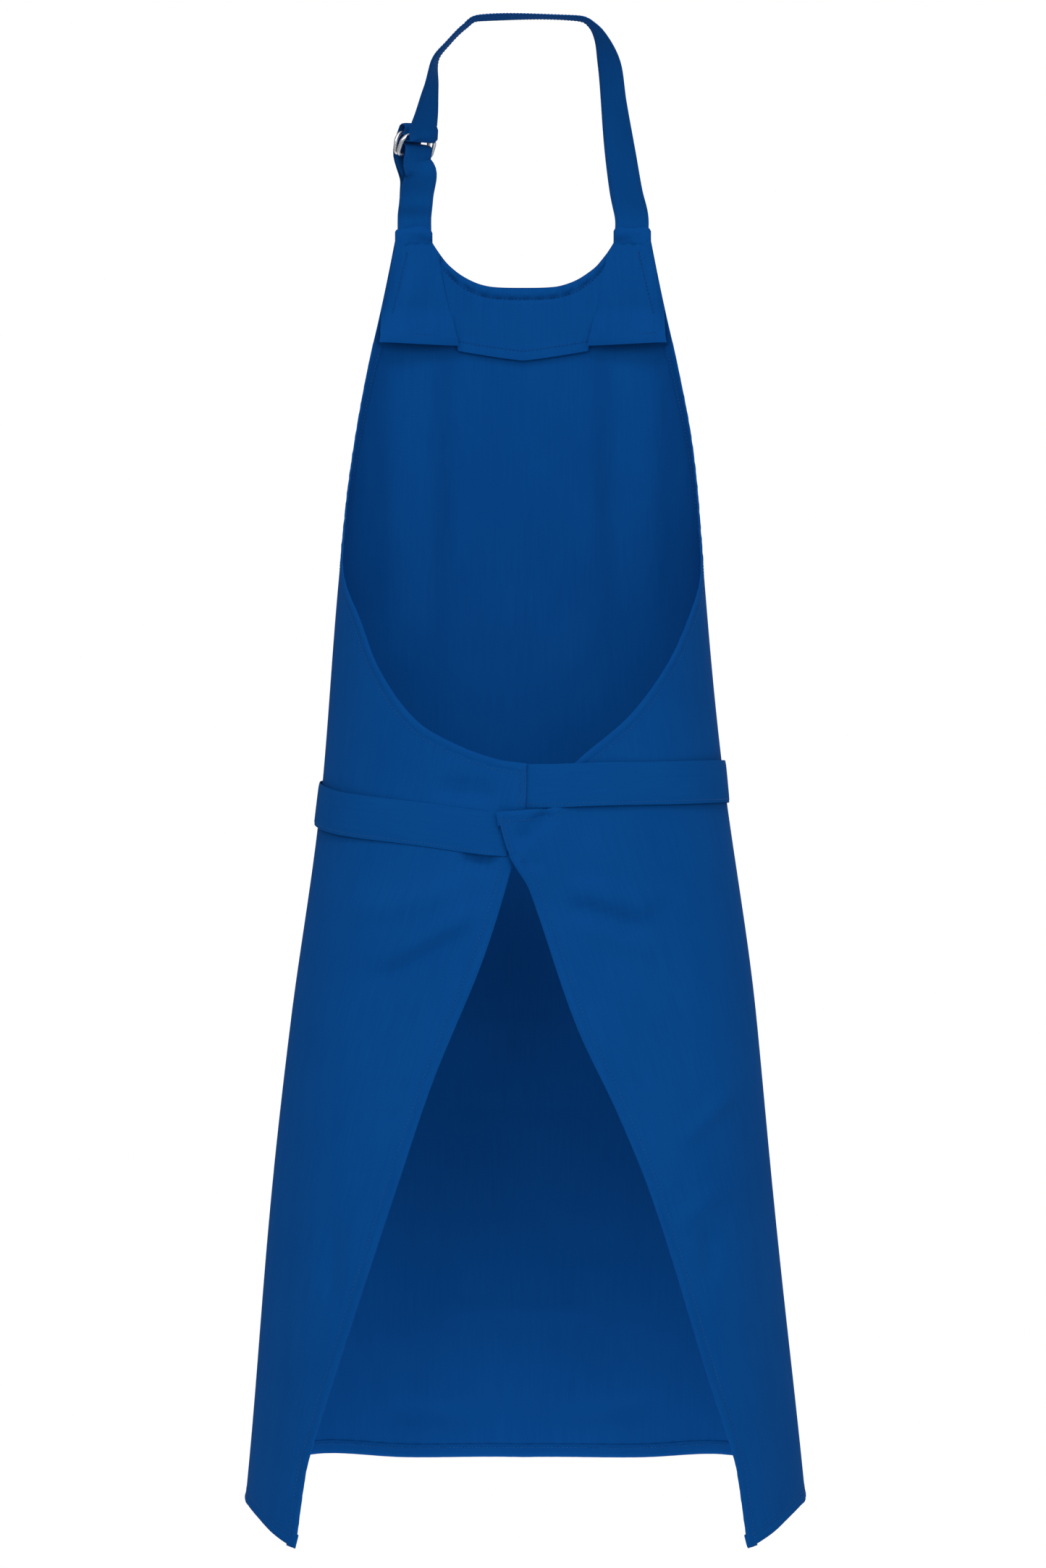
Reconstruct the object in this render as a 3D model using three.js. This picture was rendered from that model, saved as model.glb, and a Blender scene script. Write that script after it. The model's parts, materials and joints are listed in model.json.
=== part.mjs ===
// Bib apron for welding, in blue cotton twill, worn and tied.
// Millimetres. +X is the wearer's right, +Y the way the wearer faces, +Z up.
// The origin is in the middle of the neck strap's crown, on its underside.
import * as THREE from 'three';

// Cloth
const CLOTH = 1.2; // one layer of twill, with its hems
const WEBBING = 1.4; // doubled strap cloth
const LAYER_GAP = 0.5; // air between two layers that lie on each other
const STRAP_WIDTH = 26;
const TIE_WIDTH = 32;

// Heights, measured down from the crown
const NECK_DROP = 150; // crown to the fold where a strap enters its casing
const CASING_HEIGHT = 12;
const UNDERARM_DROP = 411; // crown to where the armhole edge turns to the back
const WAIST_DROP = 585;
const FRONT_LENGTH = 951; // bib's top corner to the front hem
const CORNER_DIP = 34; // how much lower the back corners hang than the front hem

// The body that the apron wraps: half widths and half depths at named heights
const BIB_TOP_HALF_WIDTH = 104;
const MID_BIB_HALF_WIDTH = 127;
const UNDERARM_HALF_WIDTH = 137;
const WAIST_HALF_WIDTH = 153;
const HIP_HALF_WIDTH = 176;
const HEM_HALF_WIDTH = 214;
const BIB_TOP_HALF_DEPTH = 18;
const BIB_TOP_CENTRE = 56; // how far forward the top of the bib stands
const UNDERARM_HALF_DEPTH = 98;
const WAIST_HALF_DEPTH = 107;
const HEM_HALF_DEPTH = 150;

// Bib
const BIB_TOP_ANGLE = 72; // from the centre front to the bib's top corner, round the body
const UNDERARM_ANGLE = 97;
const NECKLINE_HALF_WIDTH = 70;
const NECKLINE_DEPTH = 34;
const SIDE_FACING_DEPTH = 79; // bib's top corner to the lower edges of the side facings
const CENTRE_FACING_DEPTH = 83; // bib's top corner to the lower corners of the centre facing
const FACING_POINT = 7; // how far the centre facing's point hangs below its corners
const FACING_INSET = 1.5; // side facings stop this far below the bib's top edge
const FACING_INSET_ANGLE = 1.5; // and this much short of its side edges, in degrees
const SEAM_TOP_DEPTH = 18; // bib's top corner to where the facing seams start to lean
const FACING_TOP_HALF_WIDTH = 64; // where the centre facing meets the side facings
const FACING_LOW_HALF_WIDTH = 51;
const CASING_THICKNESS = 4.6;

// Back wings: [angle round the body, share of the drop from underarm to tip]
const LEFT_TIP_DROP = 567;
const RIGHT_TIP_DROP = 603;
const LEFT_ARMHOLE = [[118, 0.28], [131, 0.54], [148, 0.8], [161, 0.91], [173, 0.98], [181, 1]];
const RIGHT_ARMHOLE = [[117, 0.23], [132, 0.43], [148, 0.63], [166, 0.82], [172, 0.98], [187, 1]];
// Free edges: [angle, share of the drop from the tip to the hem corner]
const LEFT_EDGE = [
  [180.6, 0.055], [177.2, 0.125], [169.7, 0.25], [158.3, 0.4], [150.5, 0.53], [137.7, 0.76], [129, 1],
];
const RIGHT_EDGE = [
  [183.4, 0.057], [178.2, 0.105], [166.9, 0.288], [158, 0.4], [150.3, 0.514], [138, 0.75], [129, 1],
];
const CROSSING_LIFT = 2.6; // how far the right wing's corner stands off the left wing

// Neck strap and its rings
const CROWN_LEFT = -32; // ends of the straight stretch over the neck
const CROWN_RIGHT = 40;
const STRAP_FOOT_X = 84; // middle of each casing mouth
const STRAP_FOOT_Y = 66;
const CASING_INNER = STRAP_FOOT_X - STRAP_WIDTH / 2 - 1;
const CASING_OUTER = STRAP_FOOT_X + STRAP_WIDTH / 2 + 2;
const WIRE_RADIUS = 1.5;
const RING_ROOM = 3.5; // from the strap's edge to the middle of the wire
const RING_HALF_WIDTH = STRAP_WIDTH / 2 + RING_ROOM;
const RING_HEIGHT = 16.5; // bar to the top of the bow, middle to middle
const RING_X = -84;
const RING_Y = 51;
const RING_RISE = 53; // casing's fold to the rings' bars
const RING_LEAN = THREE.MathUtils.degToRad(19); // towards the wearer
const RING_TWIST = 40; // how far their outer ends are turned towards the wearer, in degrees
const BAR_SPACING = 3.8;
const BOW_SPACING = 9.2;
const RING_SHOULDER = 8; // how round the bow's shoulders are
const RING_FOOT = 3; // and the corners at the bar
const RING_SLACK = 2.8; // room for the wire inside the threaded strap
const TAB_SLACK = 0.9;
const TAB_LOOSE = 1.5; // how much higher than round the tab stands over the bars
const HINGE_ROOM = 7; // the strap's tail is left open this far above and below the fold
const TAIL_STAND_OFF = 5; // tail in front of the strap's foot, at the fold
const TAIL_END_DROP = 214;

// Bow in the waist ties
const KNOT = new THREE.Vector3(10, 7, 13); // half sizes
const BOW_REACH = 82;
const BOW_DROOP = 22;
const LOOP_HALF_GAP = 3; // between the middle of a loop and each of its two layers
const LOOP_PUFF = 2.5; // how far a loop's front layer bulges
const TAIL_LENGTH = 168;
const TAIL_START = 3; // how far to the side a hanging end leaves the knot
const TAIL_SPLAY = 17; // and how much further out it ends
const TAIL_LEAN = 0.12; // slope of its lower edge

const COLOURS = {
  cloth: 0x0b4583,
  facing: 0x074180,
  strap: 0x08407c,
  tie: 0x084686,
  steel: 0xc9ccd0,
};

const apron = new THREE.Group();

function addNode(name, geometry, colour, metalness = 0) {
  const roughness = metalness > 0 ? 0.25 : 0.9;
  const material = new THREE.MeshStandardMaterial({ color: colour, roughness, metalness });
  const mesh = new THREE.Mesh(geometry, material);
  mesh.name = name;
  apron.add(mesh);
}

// --- Shapes shared by the cloth pieces -----------------------------------------------------

function clampedShare(value, from, to) {
  return THREE.MathUtils.clamp((value - from) / (to - from), 0, 1);
}

/** Turns a mesh the right way out if its faces point in. */
function facingOut(geometry) {
  const place = geometry.attributes.position;
  const index = geometry.index.array;
  const [a, b, c] = [new THREE.Vector3(), new THREE.Vector3(), new THREE.Vector3()];
  let volume = 0;
  for (let i = 0; i < index.length; i += 3) {
    a.fromBufferAttribute(place, index[i]);
    b.fromBufferAttribute(place, index[i + 1]);
    c.fromBufferAttribute(place, index[i + 2]);
    volume += a.dot(b.cross(c));
  }
  if (volume < 0) {
    geometry.setIndex(Array.from(index).reverse());
  }
  geometry.computeVertexNormals();
  return geometry;
}

function geometryOf(points, index) {
  const geometry = new THREE.BufferGeometry();
  const numbers = points.flatMap((point) => point.toArray());
  geometry.setAttribute('position', new THREE.Float32BufferAttribute(numbers, 3));
  geometry.setIndex(index);
  return facingOut(geometry);
}

/** The closed solid between an outer and an inner grid of points. */
function closedSheet(outer, inner) {
  const rows = outer.length;
  const columns = outer[0].length;
  const out = (i, j) => i * columns + j;
  const back = (i, j) => rows * columns + out(i, j);
  const index = [];
  const quad = (a, b, c, d) => index.push(a, b, c, a, c, d);
  for (let i = 0; i < rows - 1; i += 1) {
    for (let j = 0; j < columns - 1; j += 1) {
      quad(out(i, j), out(i, j + 1), out(i + 1, j + 1), out(i + 1, j));
      quad(back(i, j), back(i + 1, j), back(i + 1, j + 1), back(i, j + 1));
    }
    quad(out(i, 0), out(i + 1, 0), back(i + 1, 0), back(i, 0));
    quad(out(i + 1, columns - 1), out(i, columns - 1), back(i, columns - 1), back(i + 1, columns - 1));
  }
  for (let j = 0; j < columns - 1; j += 1) {
    quad(out(0, j + 1), out(0, j), back(0, j), back(0, j + 1));
    quad(out(rows - 1, j), out(rows - 1, j + 1), back(rows - 1, j + 1), back(rows - 1, j));
  }
  return geometryOf([...outer.flat(), ...inner.flat()], index);
}

/** A flat strip along its stations: {centre, across, width, thickness, along}. */
function ribbon(stations) {
  const outer = [];
  const inner = [];
  stations.forEach((station, i) => {
    const before = stations[Math.max(i - 1, 0)].centre;
    const after = stations[Math.min(i + 1, stations.length - 1)].centre;
    const along = station.along ?? after.clone().sub(before).normalize();
    const across = station.across.clone();
    across.addScaledVector(along, -across.dot(along)).normalize();
    const normal = across.clone().cross(along);
    const edge = (side, layer) =>
      station.centre
        .clone()
        .addScaledVector(across, (side * station.width) / 2)
        .addScaledVector(normal, (layer * station.thickness) / 2);
    outer.push([edge(-1, 1), edge(1, 1)]);
    inner.push([edge(-1, -1), edge(1, -1)]);
  });
  return closedSheet(outer, inner);
}

// --- The shape of the body ------------------------------------------------------------------

/** A smooth curve through [height, value] pairs listed from the top down. */
function smoothAlong(pairs, height) {
  const last = pairs.length - 1;
  const below = pairs.findIndex(([level]) => level <= height);
  const k = THREE.MathUtils.clamp(below < 0 ? last : below, 1, last);
  const slopeAt = (i) => {
    const [fromLevel, from] = pairs[Math.max(i - 1, 0)];
    const [toLevel, to] = pairs[Math.min(i + 1, last)];
    return (to - from) / (toLevel - fromLevel);
  };
  const [startLevel, start] = pairs[k - 1];
  const [endLevel, end] = pairs[k];
  const span = endLevel - startLevel;
  const t = (height - startLevel) / span;
  const startSlope = slopeAt(k - 1) * span;
  const endSlope = slopeAt(k) * span;
  const bend = 2 * start - 2 * end + startSlope + endSlope;
  const swing = 3 * end - 3 * start - 2 * startSlope - endSlope;
  return start + t * (startSlope + t * (swing + t * bend));
}

/** Straight lines through [key, value] pairs, either way round. */
function straightAlong(pairs, key) {
  const down = pairs[0][0] > pairs[pairs.length - 1][0];
  let k = pairs.findIndex(([level]) => (down ? level <= key : level >= key));
  k = THREE.MathUtils.clamp(k < 0 ? pairs.length - 1 : k, 1, pairs.length - 1);
  const [startKey, start] = pairs[k - 1];
  const [endKey, end] = pairs[k];
  return THREE.MathUtils.lerp(start, end, clampedShare(key, startKey, endKey));
}

const BIB_TOP = -(NECK_DROP + CASING_HEIGHT + LAYER_GAP);
const UNDERARM = -UNDERARM_DROP;
const WAIST = -WAIST_DROP;
const FRONT_HEM = BIB_TOP - FRONT_LENGTH;
const CORNER_HEM = FRONT_HEM - CORNER_DIP;
const between = (top, bottom, share) => THREE.MathUtils.lerp(top, bottom, share);

const HALF_WIDTHS = [
  [BIB_TOP, BIB_TOP_HALF_WIDTH],
  [between(BIB_TOP, UNDERARM, 0.55), MID_BIB_HALF_WIDTH],
  [UNDERARM, UNDERARM_HALF_WIDTH],
  [WAIST, WAIST_HALF_WIDTH],
  [between(WAIST, FRONT_HEM, 0.33), HIP_HALF_WIDTH],
  [CORNER_HEM, HEM_HALF_WIDTH],
];
const HALF_DEPTHS = [
  [BIB_TOP, BIB_TOP_HALF_DEPTH],
  [UNDERARM, UNDERARM_HALF_DEPTH],
  [WAIST, WAIST_HALF_DEPTH],
  [CORNER_HEM, HEM_HALF_DEPTH],
];
const CENTRES = [
  [BIB_TOP, BIB_TOP_CENTRE],
  [UNDERARM, 0],
  [WAIST, 0],
  [CORNER_HEM, 0],
];

/** A point on the body: angle in degrees from the centre front towards +X. */
function bodyPoint(angle, height) {
  const turn = THREE.MathUtils.degToRad(angle);
  const halfWidth = smoothAlong(HALF_WIDTHS, height);
  const halfDepth = smoothAlong(HALF_DEPTHS, height);
  const centre = smoothAlong(CENTRES, height);
  return new THREE.Vector3(halfWidth * Math.sin(turn), centre + halfDepth * Math.cos(turn), height);
}

/** The same point, moved outwards along the body's normal. */
function onBody(angle, height, offset) {
  const round = bodyPoint(angle + 0.5, height).sub(bodyPoint(angle - 0.5, height));
  const down = bodyPoint(angle, height - 1).sub(bodyPoint(angle, height + 1));
  const outward = round.cross(down).normalize();
  return bodyPoint(angle, height).addScaledVector(outward, offset);
}

/** The angle at which the body's surface reaches a distance x from its middle. */
function angleAt(x, height) {
  return THREE.MathUtils.radToDeg(Math.asin(x / smoothAlong(HALF_WIDTHS, height)));
}

/** A piece of cloth on the body: place(u, v) gives its angle and height. */
function clothOnBody(columns, rows, offset, place) {
  const layer = (side) =>
    rows.map((v) =>
      columns.map((u) => {
        const { angle, height, lift = 0 } = place(u, v);
        return onBody(angle, height, offset + lift + (side * CLOTH) / 2);
      }),
    );
  return closedSheet(layer(1), layer(-1));
}

const evenly = (count, from = 0, to = 1) =>
  Array.from({ length: count + 1 }, (_, i) => THREE.MathUtils.lerp(from, to, i / count));

// --- Main panel: bib, skirt and the two back wings in one piece of cloth --------------------

function sideOutline(tipDrop, armhole, freeEdge) {
  const outline = evenly(5).map((share) => [
    between(BIB_TOP, UNDERARM, share),
    THREE.MathUtils.lerp(BIB_TOP_ANGLE, UNDERARM_ANGLE, share ** 1.5),
  ]);
  armhole.forEach(([angle, share]) => outline.push([between(UNDERARM, -tipDrop, share), angle]));
  freeEdge.forEach(([angle, share]) => outline.push([between(-tipDrop, CORNER_HEM, share), angle]));
  return outline;
}

const LEFT_SIDE = sideOutline(LEFT_TIP_DROP, LEFT_ARMHOLE, LEFT_EDGE);
const RIGHT_SIDE = sideOutline(RIGHT_TIP_DROP, RIGHT_ARMHOLE, RIGHT_EDGE);

function necklineAt(x) {
  const reach = Math.min(Math.abs(x) / NECKLINE_HALF_WIDTH, 1);
  return BIB_TOP - NECKLINE_DEPTH * (1 - reach ** 3.5);
}

/** The lift that carries the right wing's corner over the left wing. */
function wingLift(angle, height) {
  const round = clampedShare(angle, 164, 177);
  const under = clampedShare(height, WAIST, WAIST - 15);
  const over = clampedShare(height, WAIST - 90, WAIST - 60);
  return CROSSING_LIFT * round * Math.min(under, over);
}

function mainPanel() {
  const levels = [...evenly(12, BIB_TOP, UNDERARM), ...evenly(7, WAIST - 90, CORNER_HEM)];
  [...LEFT_SIDE, ...RIGHT_SIDE].forEach(([level]) => levels.push(level));
  levels.sort((a, b) => b - a);
  const rows = levels.filter((level, i) => i === 0 || levels[i - 1] - level > 2);
  rows[rows.length - 1] = CORNER_HEM;
  return clothOnBody(evenly(32, -1, 1), rows, 0, (side, level) => {
    const outline = side < 0 ? LEFT_SIDE : RIGHT_SIDE;
    const angle = side * straightAlong(outline, level);
    const topX = BIB_TOP_HALF_WIDTH * Math.sin(THREE.MathUtils.degToRad(side * BIB_TOP_ANGLE));
    const hem = FRONT_HEM - CORNER_DIP * Math.abs(side) ** 2.2;
    const height = between(necklineAt(topX), hem, clampedShare(level, BIB_TOP, CORNER_HEM));
    return { angle, height, lift: wingLift(angle, height) };
  });
}

addNode('main_panel', mainPanel(), COLOURS.cloth);

// --- Facings sewn to the inside of the bib --------------------------------------------------

const SIDE_FACING_LOW = BIB_TOP - SIDE_FACING_DEPTH;
const CENTRE_FACING_LOW = BIB_TOP - CENTRE_FACING_DEPTH;
const FACING_OFFSET = -(CLOTH + LAYER_GAP);

/** Where the centre facing meets a side facing, as a distance from the middle. */
function facingSeam(height) {
  const share = clampedShare(height, BIB_TOP - SEAM_TOP_DEPTH, CENTRE_FACING_LOW);
  return THREE.MathUtils.lerp(FACING_TOP_HALF_WIDTH, FACING_LOW_HALF_WIDTH, share);
}

function centreFacing() {
  return clothOnBody(evenly(12, -1, 1), evenly(4), FACING_OFFSET, (side, share) => {
    const top = necklineAt(side * FACING_TOP_HALF_WIDTH) - LAYER_GAP;
    const bottom = CENTRE_FACING_LOW - FACING_POINT * (1 - Math.abs(side));
    const height = between(top, bottom, share);
    return { angle: angleAt(side * (facingSeam(height) - LAYER_GAP), height), height };
  });
}

function sideFacing(side) {
  return clothOnBody(evenly(6), evenly(5), FACING_OFFSET, (across, share) => {
    const height = between(BIB_TOP - FACING_INSET, SIDE_FACING_LOW, share);
    const seam = facingSeam(height) + LAYER_GAP;
    const inner = angleAt(necklineAt(seam) < height ? NECKLINE_HALF_WIDTH : seam, height);
    const outer = straightAlong(LEFT_SIDE, height) - FACING_INSET_ANGLE;
    return { angle: side * THREE.MathUtils.lerp(inner, outer, across), height };
  });
}

addNode('neck_facing_centre', centreFacing(), COLOURS.facing);
addNode('side_facing_left', sideFacing(-1), COLOURS.facing);
addNode('side_facing_right', sideFacing(1), COLOURS.facing);

// --- Strap casings: the folded corners that hold the strap and the ring tab -----------------

function strapCasing(side) {
  const mouth = WEBBING / 2 + LAYER_GAP;
  const wall = CASING_THICKNESS / 2;
  const shoulder = CASING_HEIGHT / 3;
  const half = [[wall, CASING_HEIGHT], [wall, shoulder], [mouth, mouth]];
  const profile = [...half, ...half.map(([y, drop]) => [-y, drop]).reverse()];
  const outline = profile.map(([y, drop]) => new THREE.Vector2(STRAP_FOOT_Y + y, -NECK_DROP - drop));
  const depth = CASING_OUTER - CASING_INNER;
  const geometry = new THREE.ExtrudeGeometry(new THREE.Shape(outline), { depth, bevelEnabled: false });
  // The section was drawn with Y along its first axis and Z along its second.
  geometry.applyMatrix4(new THREE.Matrix4().set(0, 0, 1, 0, 1, 0, 0, 0, 0, 1, 0, 0, 0, 0, 0, 1));
  return geometry.translate(side > 0 ? CASING_INNER : -CASING_OUTER, 0, 0);
}

addNode('strap_casing_left', strapCasing(-1), COLOURS.cloth);
addNode('strap_casing_right', strapCasing(1), COLOURS.cloth);

// --- Rings: a pair of bent wire rings, each with a straight bar and a bow --------------------

/** A point beside the rings: along their bars, out from the chest, and up along the strap. */
function byRings(along, out, up) {
  const turn = THREE.MathUtils.degToRad(RING_TWIST);
  const forward = out * Math.cos(RING_LEAN) - up * Math.sin(RING_LEAN);
  const x = RING_X + along * Math.cos(turn) - forward * Math.sin(turn);
  const y = RING_Y + along * Math.sin(turn) + forward * Math.cos(turn);
  const z = RING_RISE - NECK_DROP + out * Math.sin(RING_LEAN) + up * Math.cos(RING_LEAN);
  return new THREE.Vector3(x, y, z);
}

function wireRing(side) {
  const reach = RING_HALF_WIDTH;
  const top = RING_HEIGHT - RING_SHOULDER;
  const quarter = Math.PI / 2;
  const outline = new THREE.Shape();
  outline.moveTo(RING_FOOT - reach, 0);
  outline.lineTo(reach - RING_FOOT, 0);
  outline.absarc(reach - RING_FOOT, RING_FOOT, RING_FOOT, -quarter, 0, false);
  outline.absarc(reach - RING_SHOULDER, top, RING_SHOULDER, 0, quarter, false);
  outline.absarc(RING_SHOULDER - reach, top, RING_SHOULDER, quarter, 2 * quarter, false);
  outline.absarc(RING_FOOT - reach, RING_FOOT, RING_FOOT, 2 * quarter, 3 * quarter, false);
  const steps = 40;
  const sides = 8;
  const path = outline.getSpacedPoints(steps).slice(0, steps);
  const spread = (up) => (side / 2) * THREE.MathUtils.lerp(BAR_SPACING, BOW_SPACING, up / RING_HEIGHT);
  const middle = path.map(({ x, y }) => byRings(x, spread(y), y));
  const flat = byRings(0, spread(RING_HEIGHT), RING_HEIGHT).sub(byRings(0, spread(0), 0));
  const bar = byRings(1, 0, 0).sub(byRings(0, 0, 0));
  const plane = bar.cross(flat).normalize();
  const points = [];
  const index = [];
  middle.forEach((point, i) => {
    const along = middle[(i + 1) % steps].clone().sub(middle[(i + steps - 1) % steps]);
    const outward = along.cross(plane).normalize();
    for (let j = 0; j < sides; j += 1) {
      const turn = (2 * Math.PI * j) / sides;
      const edge = point.clone().addScaledVector(outward, WIRE_RADIUS * Math.cos(turn));
      points.push(edge.addScaledVector(plane, WIRE_RADIUS * Math.sin(turn)));
      const next = ((i + 1) % steps) * sides;
      const here = i * sides;
      const k = (j + 1) % sides;
      index.push(here + j, here + k, next + k, here + j, next + k, next + j);
    }
  });
  return geometryOf(points, index);
}

addNode('ring_inner', wireRing(-1), COLOURS.steel, 1);
addNode('ring_outer', wireRing(1), COLOURS.steel, 1);

// --- Neck strap, its tail and the ring tab ----------------------------------------------------

/** The direction towards the strap's outer edge, twisted from flat on the chest to flat on the neck. */
function outerEdge(side, twist) {
  const turn = THREE.MathUtils.degToRad(twist);
  return new THREE.Vector3(side * Math.cos(turn), -Math.sin(turn), 0);
}

function station(centre, across, width = STRAP_WIDTH, thickness = WEBBING) {
  return { centre, across, width, thickness };
}

/** Stations on a smooth curve through [x, y, drop, twist] places on one side of the neck. */
function sideOfStrap(side, places, count) {
  const points = places.map(([x, y, drop]) => new THREE.Vector3(x, y, WEBBING / 2 - drop));
  const curve = new THREE.CatmullRomCurve3(points, false, 'centripetal');
  return evenly(count).map((t) => {
    const k = Math.min(Math.floor(t * (places.length - 1)), places.length - 2);
    const twist = THREE.MathUtils.lerp(places[k][3], places[k + 1][3], t * (places.length - 1) - k);
    return station(curve.getPoint(t), outerEdge(side, twist));
  });
}

/** A soft end: the strip thins to nothing over half its thickness. */
function thinEnd(from, direction) {
  const centre = from.centre.clone().addScaledVector(direction, WEBBING / 2);
  return station(centre, from.across, from.width, WEBBING / 4);
}

const UP = new THREE.Vector3(0, 0, 1);
const DOWN = new THREE.Vector3(0, 0, -1);
const BOW_OUT = BOW_SPACING / 2;
const STRAP_TURN = WIRE_RADIUS + RING_SLACK + WEBBING / 2; // radius of the strap round the inner bow
const TAIL_TURN = BOW_OUT * 2 - STRAP_TURN; // and of the tail over the outer bow
const FLAT_ON_CHEST = outerEdge(-1, 0);
const ALONG_RINGS = outerEdge(-1, RING_TWIST);

// The middle of the tab between the rings' bars and the casing: [x, y, rise above its fold, twist]
const BELOW_RINGS = [[-80, 55, 38, 18], [-82, 60.3, 24, 5], [-83, 63.2, 15, 2]];
const TAB_SPREAD = 3.4; // from that middle to each of the tab's layers, just below the bars
const TAIL_SPREAD = 9; // and to the strap's tail

/** Stations below the rings, each moved out from the chest by its own distance. */
function belowRings(distances) {
  return BELOW_RINGS.map(([x, y, rise, twist], i) => {
    const across = outerEdge(-1, twist);
    const out = new THREE.Vector3(across.y, -across.x, 0).multiplyScalar(distances[i]);
    return station(new THREE.Vector3(x, y, rise - NECK_DROP).add(out), across);
  });
}

function strapRoundRings() {
  const under = evenly(6, Math.PI, 2 * Math.PI).map((turn) =>
    byRings(0, -BOW_OUT + STRAP_TURN * Math.cos(turn), RING_HEIGHT + STRAP_TURN * Math.sin(turn)));
  const over = evenly(6, Math.PI, 0).map((turn) =>
    byRings(0, BOW_OUT + TAIL_TURN * Math.cos(turn), RING_HEIGHT + 2 + TAIL_TURN * Math.sin(turn)));
  return [...under, ...over].map((centre) => station(centre, ALONG_RINGS));
}

function neckStrap() {
  const drop = (share) => share * NECK_DROP;
  const right = sideOfStrap(1, [
    [STRAP_FOOT_X, STRAP_FOOT_Y, NECK_DROP + WEBBING / 2, 0],
    [STRAP_FOOT_X, STRAP_FOOT_Y, NECK_DROP - HINGE_ROOM, 0],
    [79.5, 59, drop(0.83), 13],
    [74, 43, drop(0.61), 31],
    [69.5, 28, drop(0.4), 43],
    [66, 16, drop(0.22), 51],
    [61, 8, drop(0.11), 70],
    [53, 2, drop(0.035), 84],
  ], 22);
  const left = sideOfStrap(-1, [
    [CROWN_LEFT - 12, 2, drop(0.04), 88],
    [-57, 6, drop(0.12), 87],
    [-67, 11, drop(0.2), 83],
    [-70.2, 20, drop(0.33), 70],
    [-72.4, 29, drop(0.46), 55],
  ], 14);
  const crown = [CROWN_RIGHT, CROWN_LEFT].map((x) => ({
    ...station(new THREE.Vector3(x, 0, WEBBING / 2), outerEdge(1, 90)),
    along: new THREE.Vector3(-1, 0, 0),
  }));
  const tailEnd = new THREE.Vector3(-STRAP_FOOT_X, STRAP_FOOT_Y + TAIL_STAND_OFF, -NECK_DROP + HINGE_ROOM);
  const entry = byRings(-1, -BOW_OUT - STRAP_TURN, RING_HEIGHT + 5);
  return ribbon([
    { ...thinEnd(right[0], DOWN), along: UP },
    { ...right[0], along: UP },
    ...right.slice(1),
    ...crown,
    ...left,
    station(entry, ALONG_RINGS),
    ...strapRoundRings(),
    station(byRings(0, BOW_OUT + TAIL_TURN + 1, 1), ALONG_RINGS),
    ...belowRings([TAIL_SPREAD, TAIL_STAND_OFF, TAIL_STAND_OFF]),
    station(tailEnd, FLAT_ON_CHEST),
  ]);
}

/** The loose end of the neck strap, where it lies on the outside of the bib. */
function strapTail() {
  const top = new THREE.Vector3(-STRAP_FOOT_X, STRAP_FOOT_Y + TAIL_STAND_OFF, -NECK_DROP - HINGE_ROOM);
  const offset = CLOTH / 2 + 3 * LAYER_GAP + WEBBING / 2;
  const onBib = evenly(4, -BIB_TOP + 12, TAIL_END_DROP).map((drop) => {
    const angle = angleAt(-STRAP_FOOT_X, -drop);
    const across = onBody(angle - 4, -drop, 0).sub(onBody(angle + 4, -drop, 0));
    return station(onBody(angle, -drop, offset), across);
  });
  return ribbon([station(top, FLAT_ON_CHEST), ...onBib]);
}

/** The short strip from the left casing, round the bars of both rings and back. */
function ringTab() {
  const reach = BAR_SPACING / 2;
  const turnRadius = WIRE_RADIUS + TAB_SLACK + WEBBING / 2;
  const loop = evenly(8, Math.PI, 0).map((turn) => {
    const out = Math.sign(Math.cos(turn)) * reach * Math.min(1, Math.abs(Math.cos(turn)) * 4);
    const up = TAB_LOOSE * turnRadius * Math.sin(turn);
    return station(byRings(0, out + turnRadius * Math.cos(turn), up), ALONG_RINGS);
  });
  const foot = new THREE.Vector3(-STRAP_FOOT_X, STRAP_FOOT_Y, -NECK_DROP);
  const apart = (WEBBING + 1) / 2; // half the distance between the tab's two layers
  const up = [
    station(foot, FLAT_ON_CHEST),
    station(foot.clone().add(new THREE.Vector3(0, 0, HINGE_ROOM)), FLAT_ON_CHEST),
    ...belowRings([-TAB_SPREAD, -apart, -apart]).reverse(),
    station(byRings(0, -reach - turnRadius, -4.5), ALONG_RINGS),
  ];
  const down = [
    station(byRings(0, reach + turnRadius, -4.5), ALONG_RINGS),
    ...belowRings([TAB_SPREAD, apart, apart]),
  ];
  return ribbon([thinEnd(up[0], DOWN), ...up, ...loop, ...down]);
}

addNode('neck_strap', neckStrap(), COLOURS.strap);
addNode('strap_tail', strapTail(), COLOURS.strap);
addNode('ring_tab', ringTab(), COLOURS.strap);

// --- Waist ties, from the tips of the wings round to a bow at the front -----------------------

const TIE_GAP = 0.8;
const TIE_OFFSET = CLOTH + TIE_GAP;
const KNOT_HEIGHT = WAIST - 3;

/** A tie on the body through [angle, height, lift off the cloth] places. */
function tieRound(places, count) {
  const heights = places.map(([angle, height]) => [angle, height]);
  const lifts = places.map(([angle, , lift]) => [angle, lift]);
  const first = places[0][0];
  const last = places[places.length - 1][0];
  return ribbon(evenly(count, first, last).map((angle) => {
    const height = straightAlong(heights, angle);
    const centre = onBody(angle, height, TIE_OFFSET + straightAlong(lifts, angle));
    const across = onBody(angle, height + 1, 0).sub(onBody(angle, height - 1, 0));
    return station(centre, across, TIE_WIDTH, CLOTH);
  }));
}

const knotEdge = angleAt(KNOT.x + LAYER_GAP, KNOT_HEIGHT);
const leftTieHeight = -(LEFT_TIP_DROP + TIE_WIDTH / 2);
const rightTieHeight = -(RIGHT_TIP_DROP + TIE_WIDTH / 2);

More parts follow.
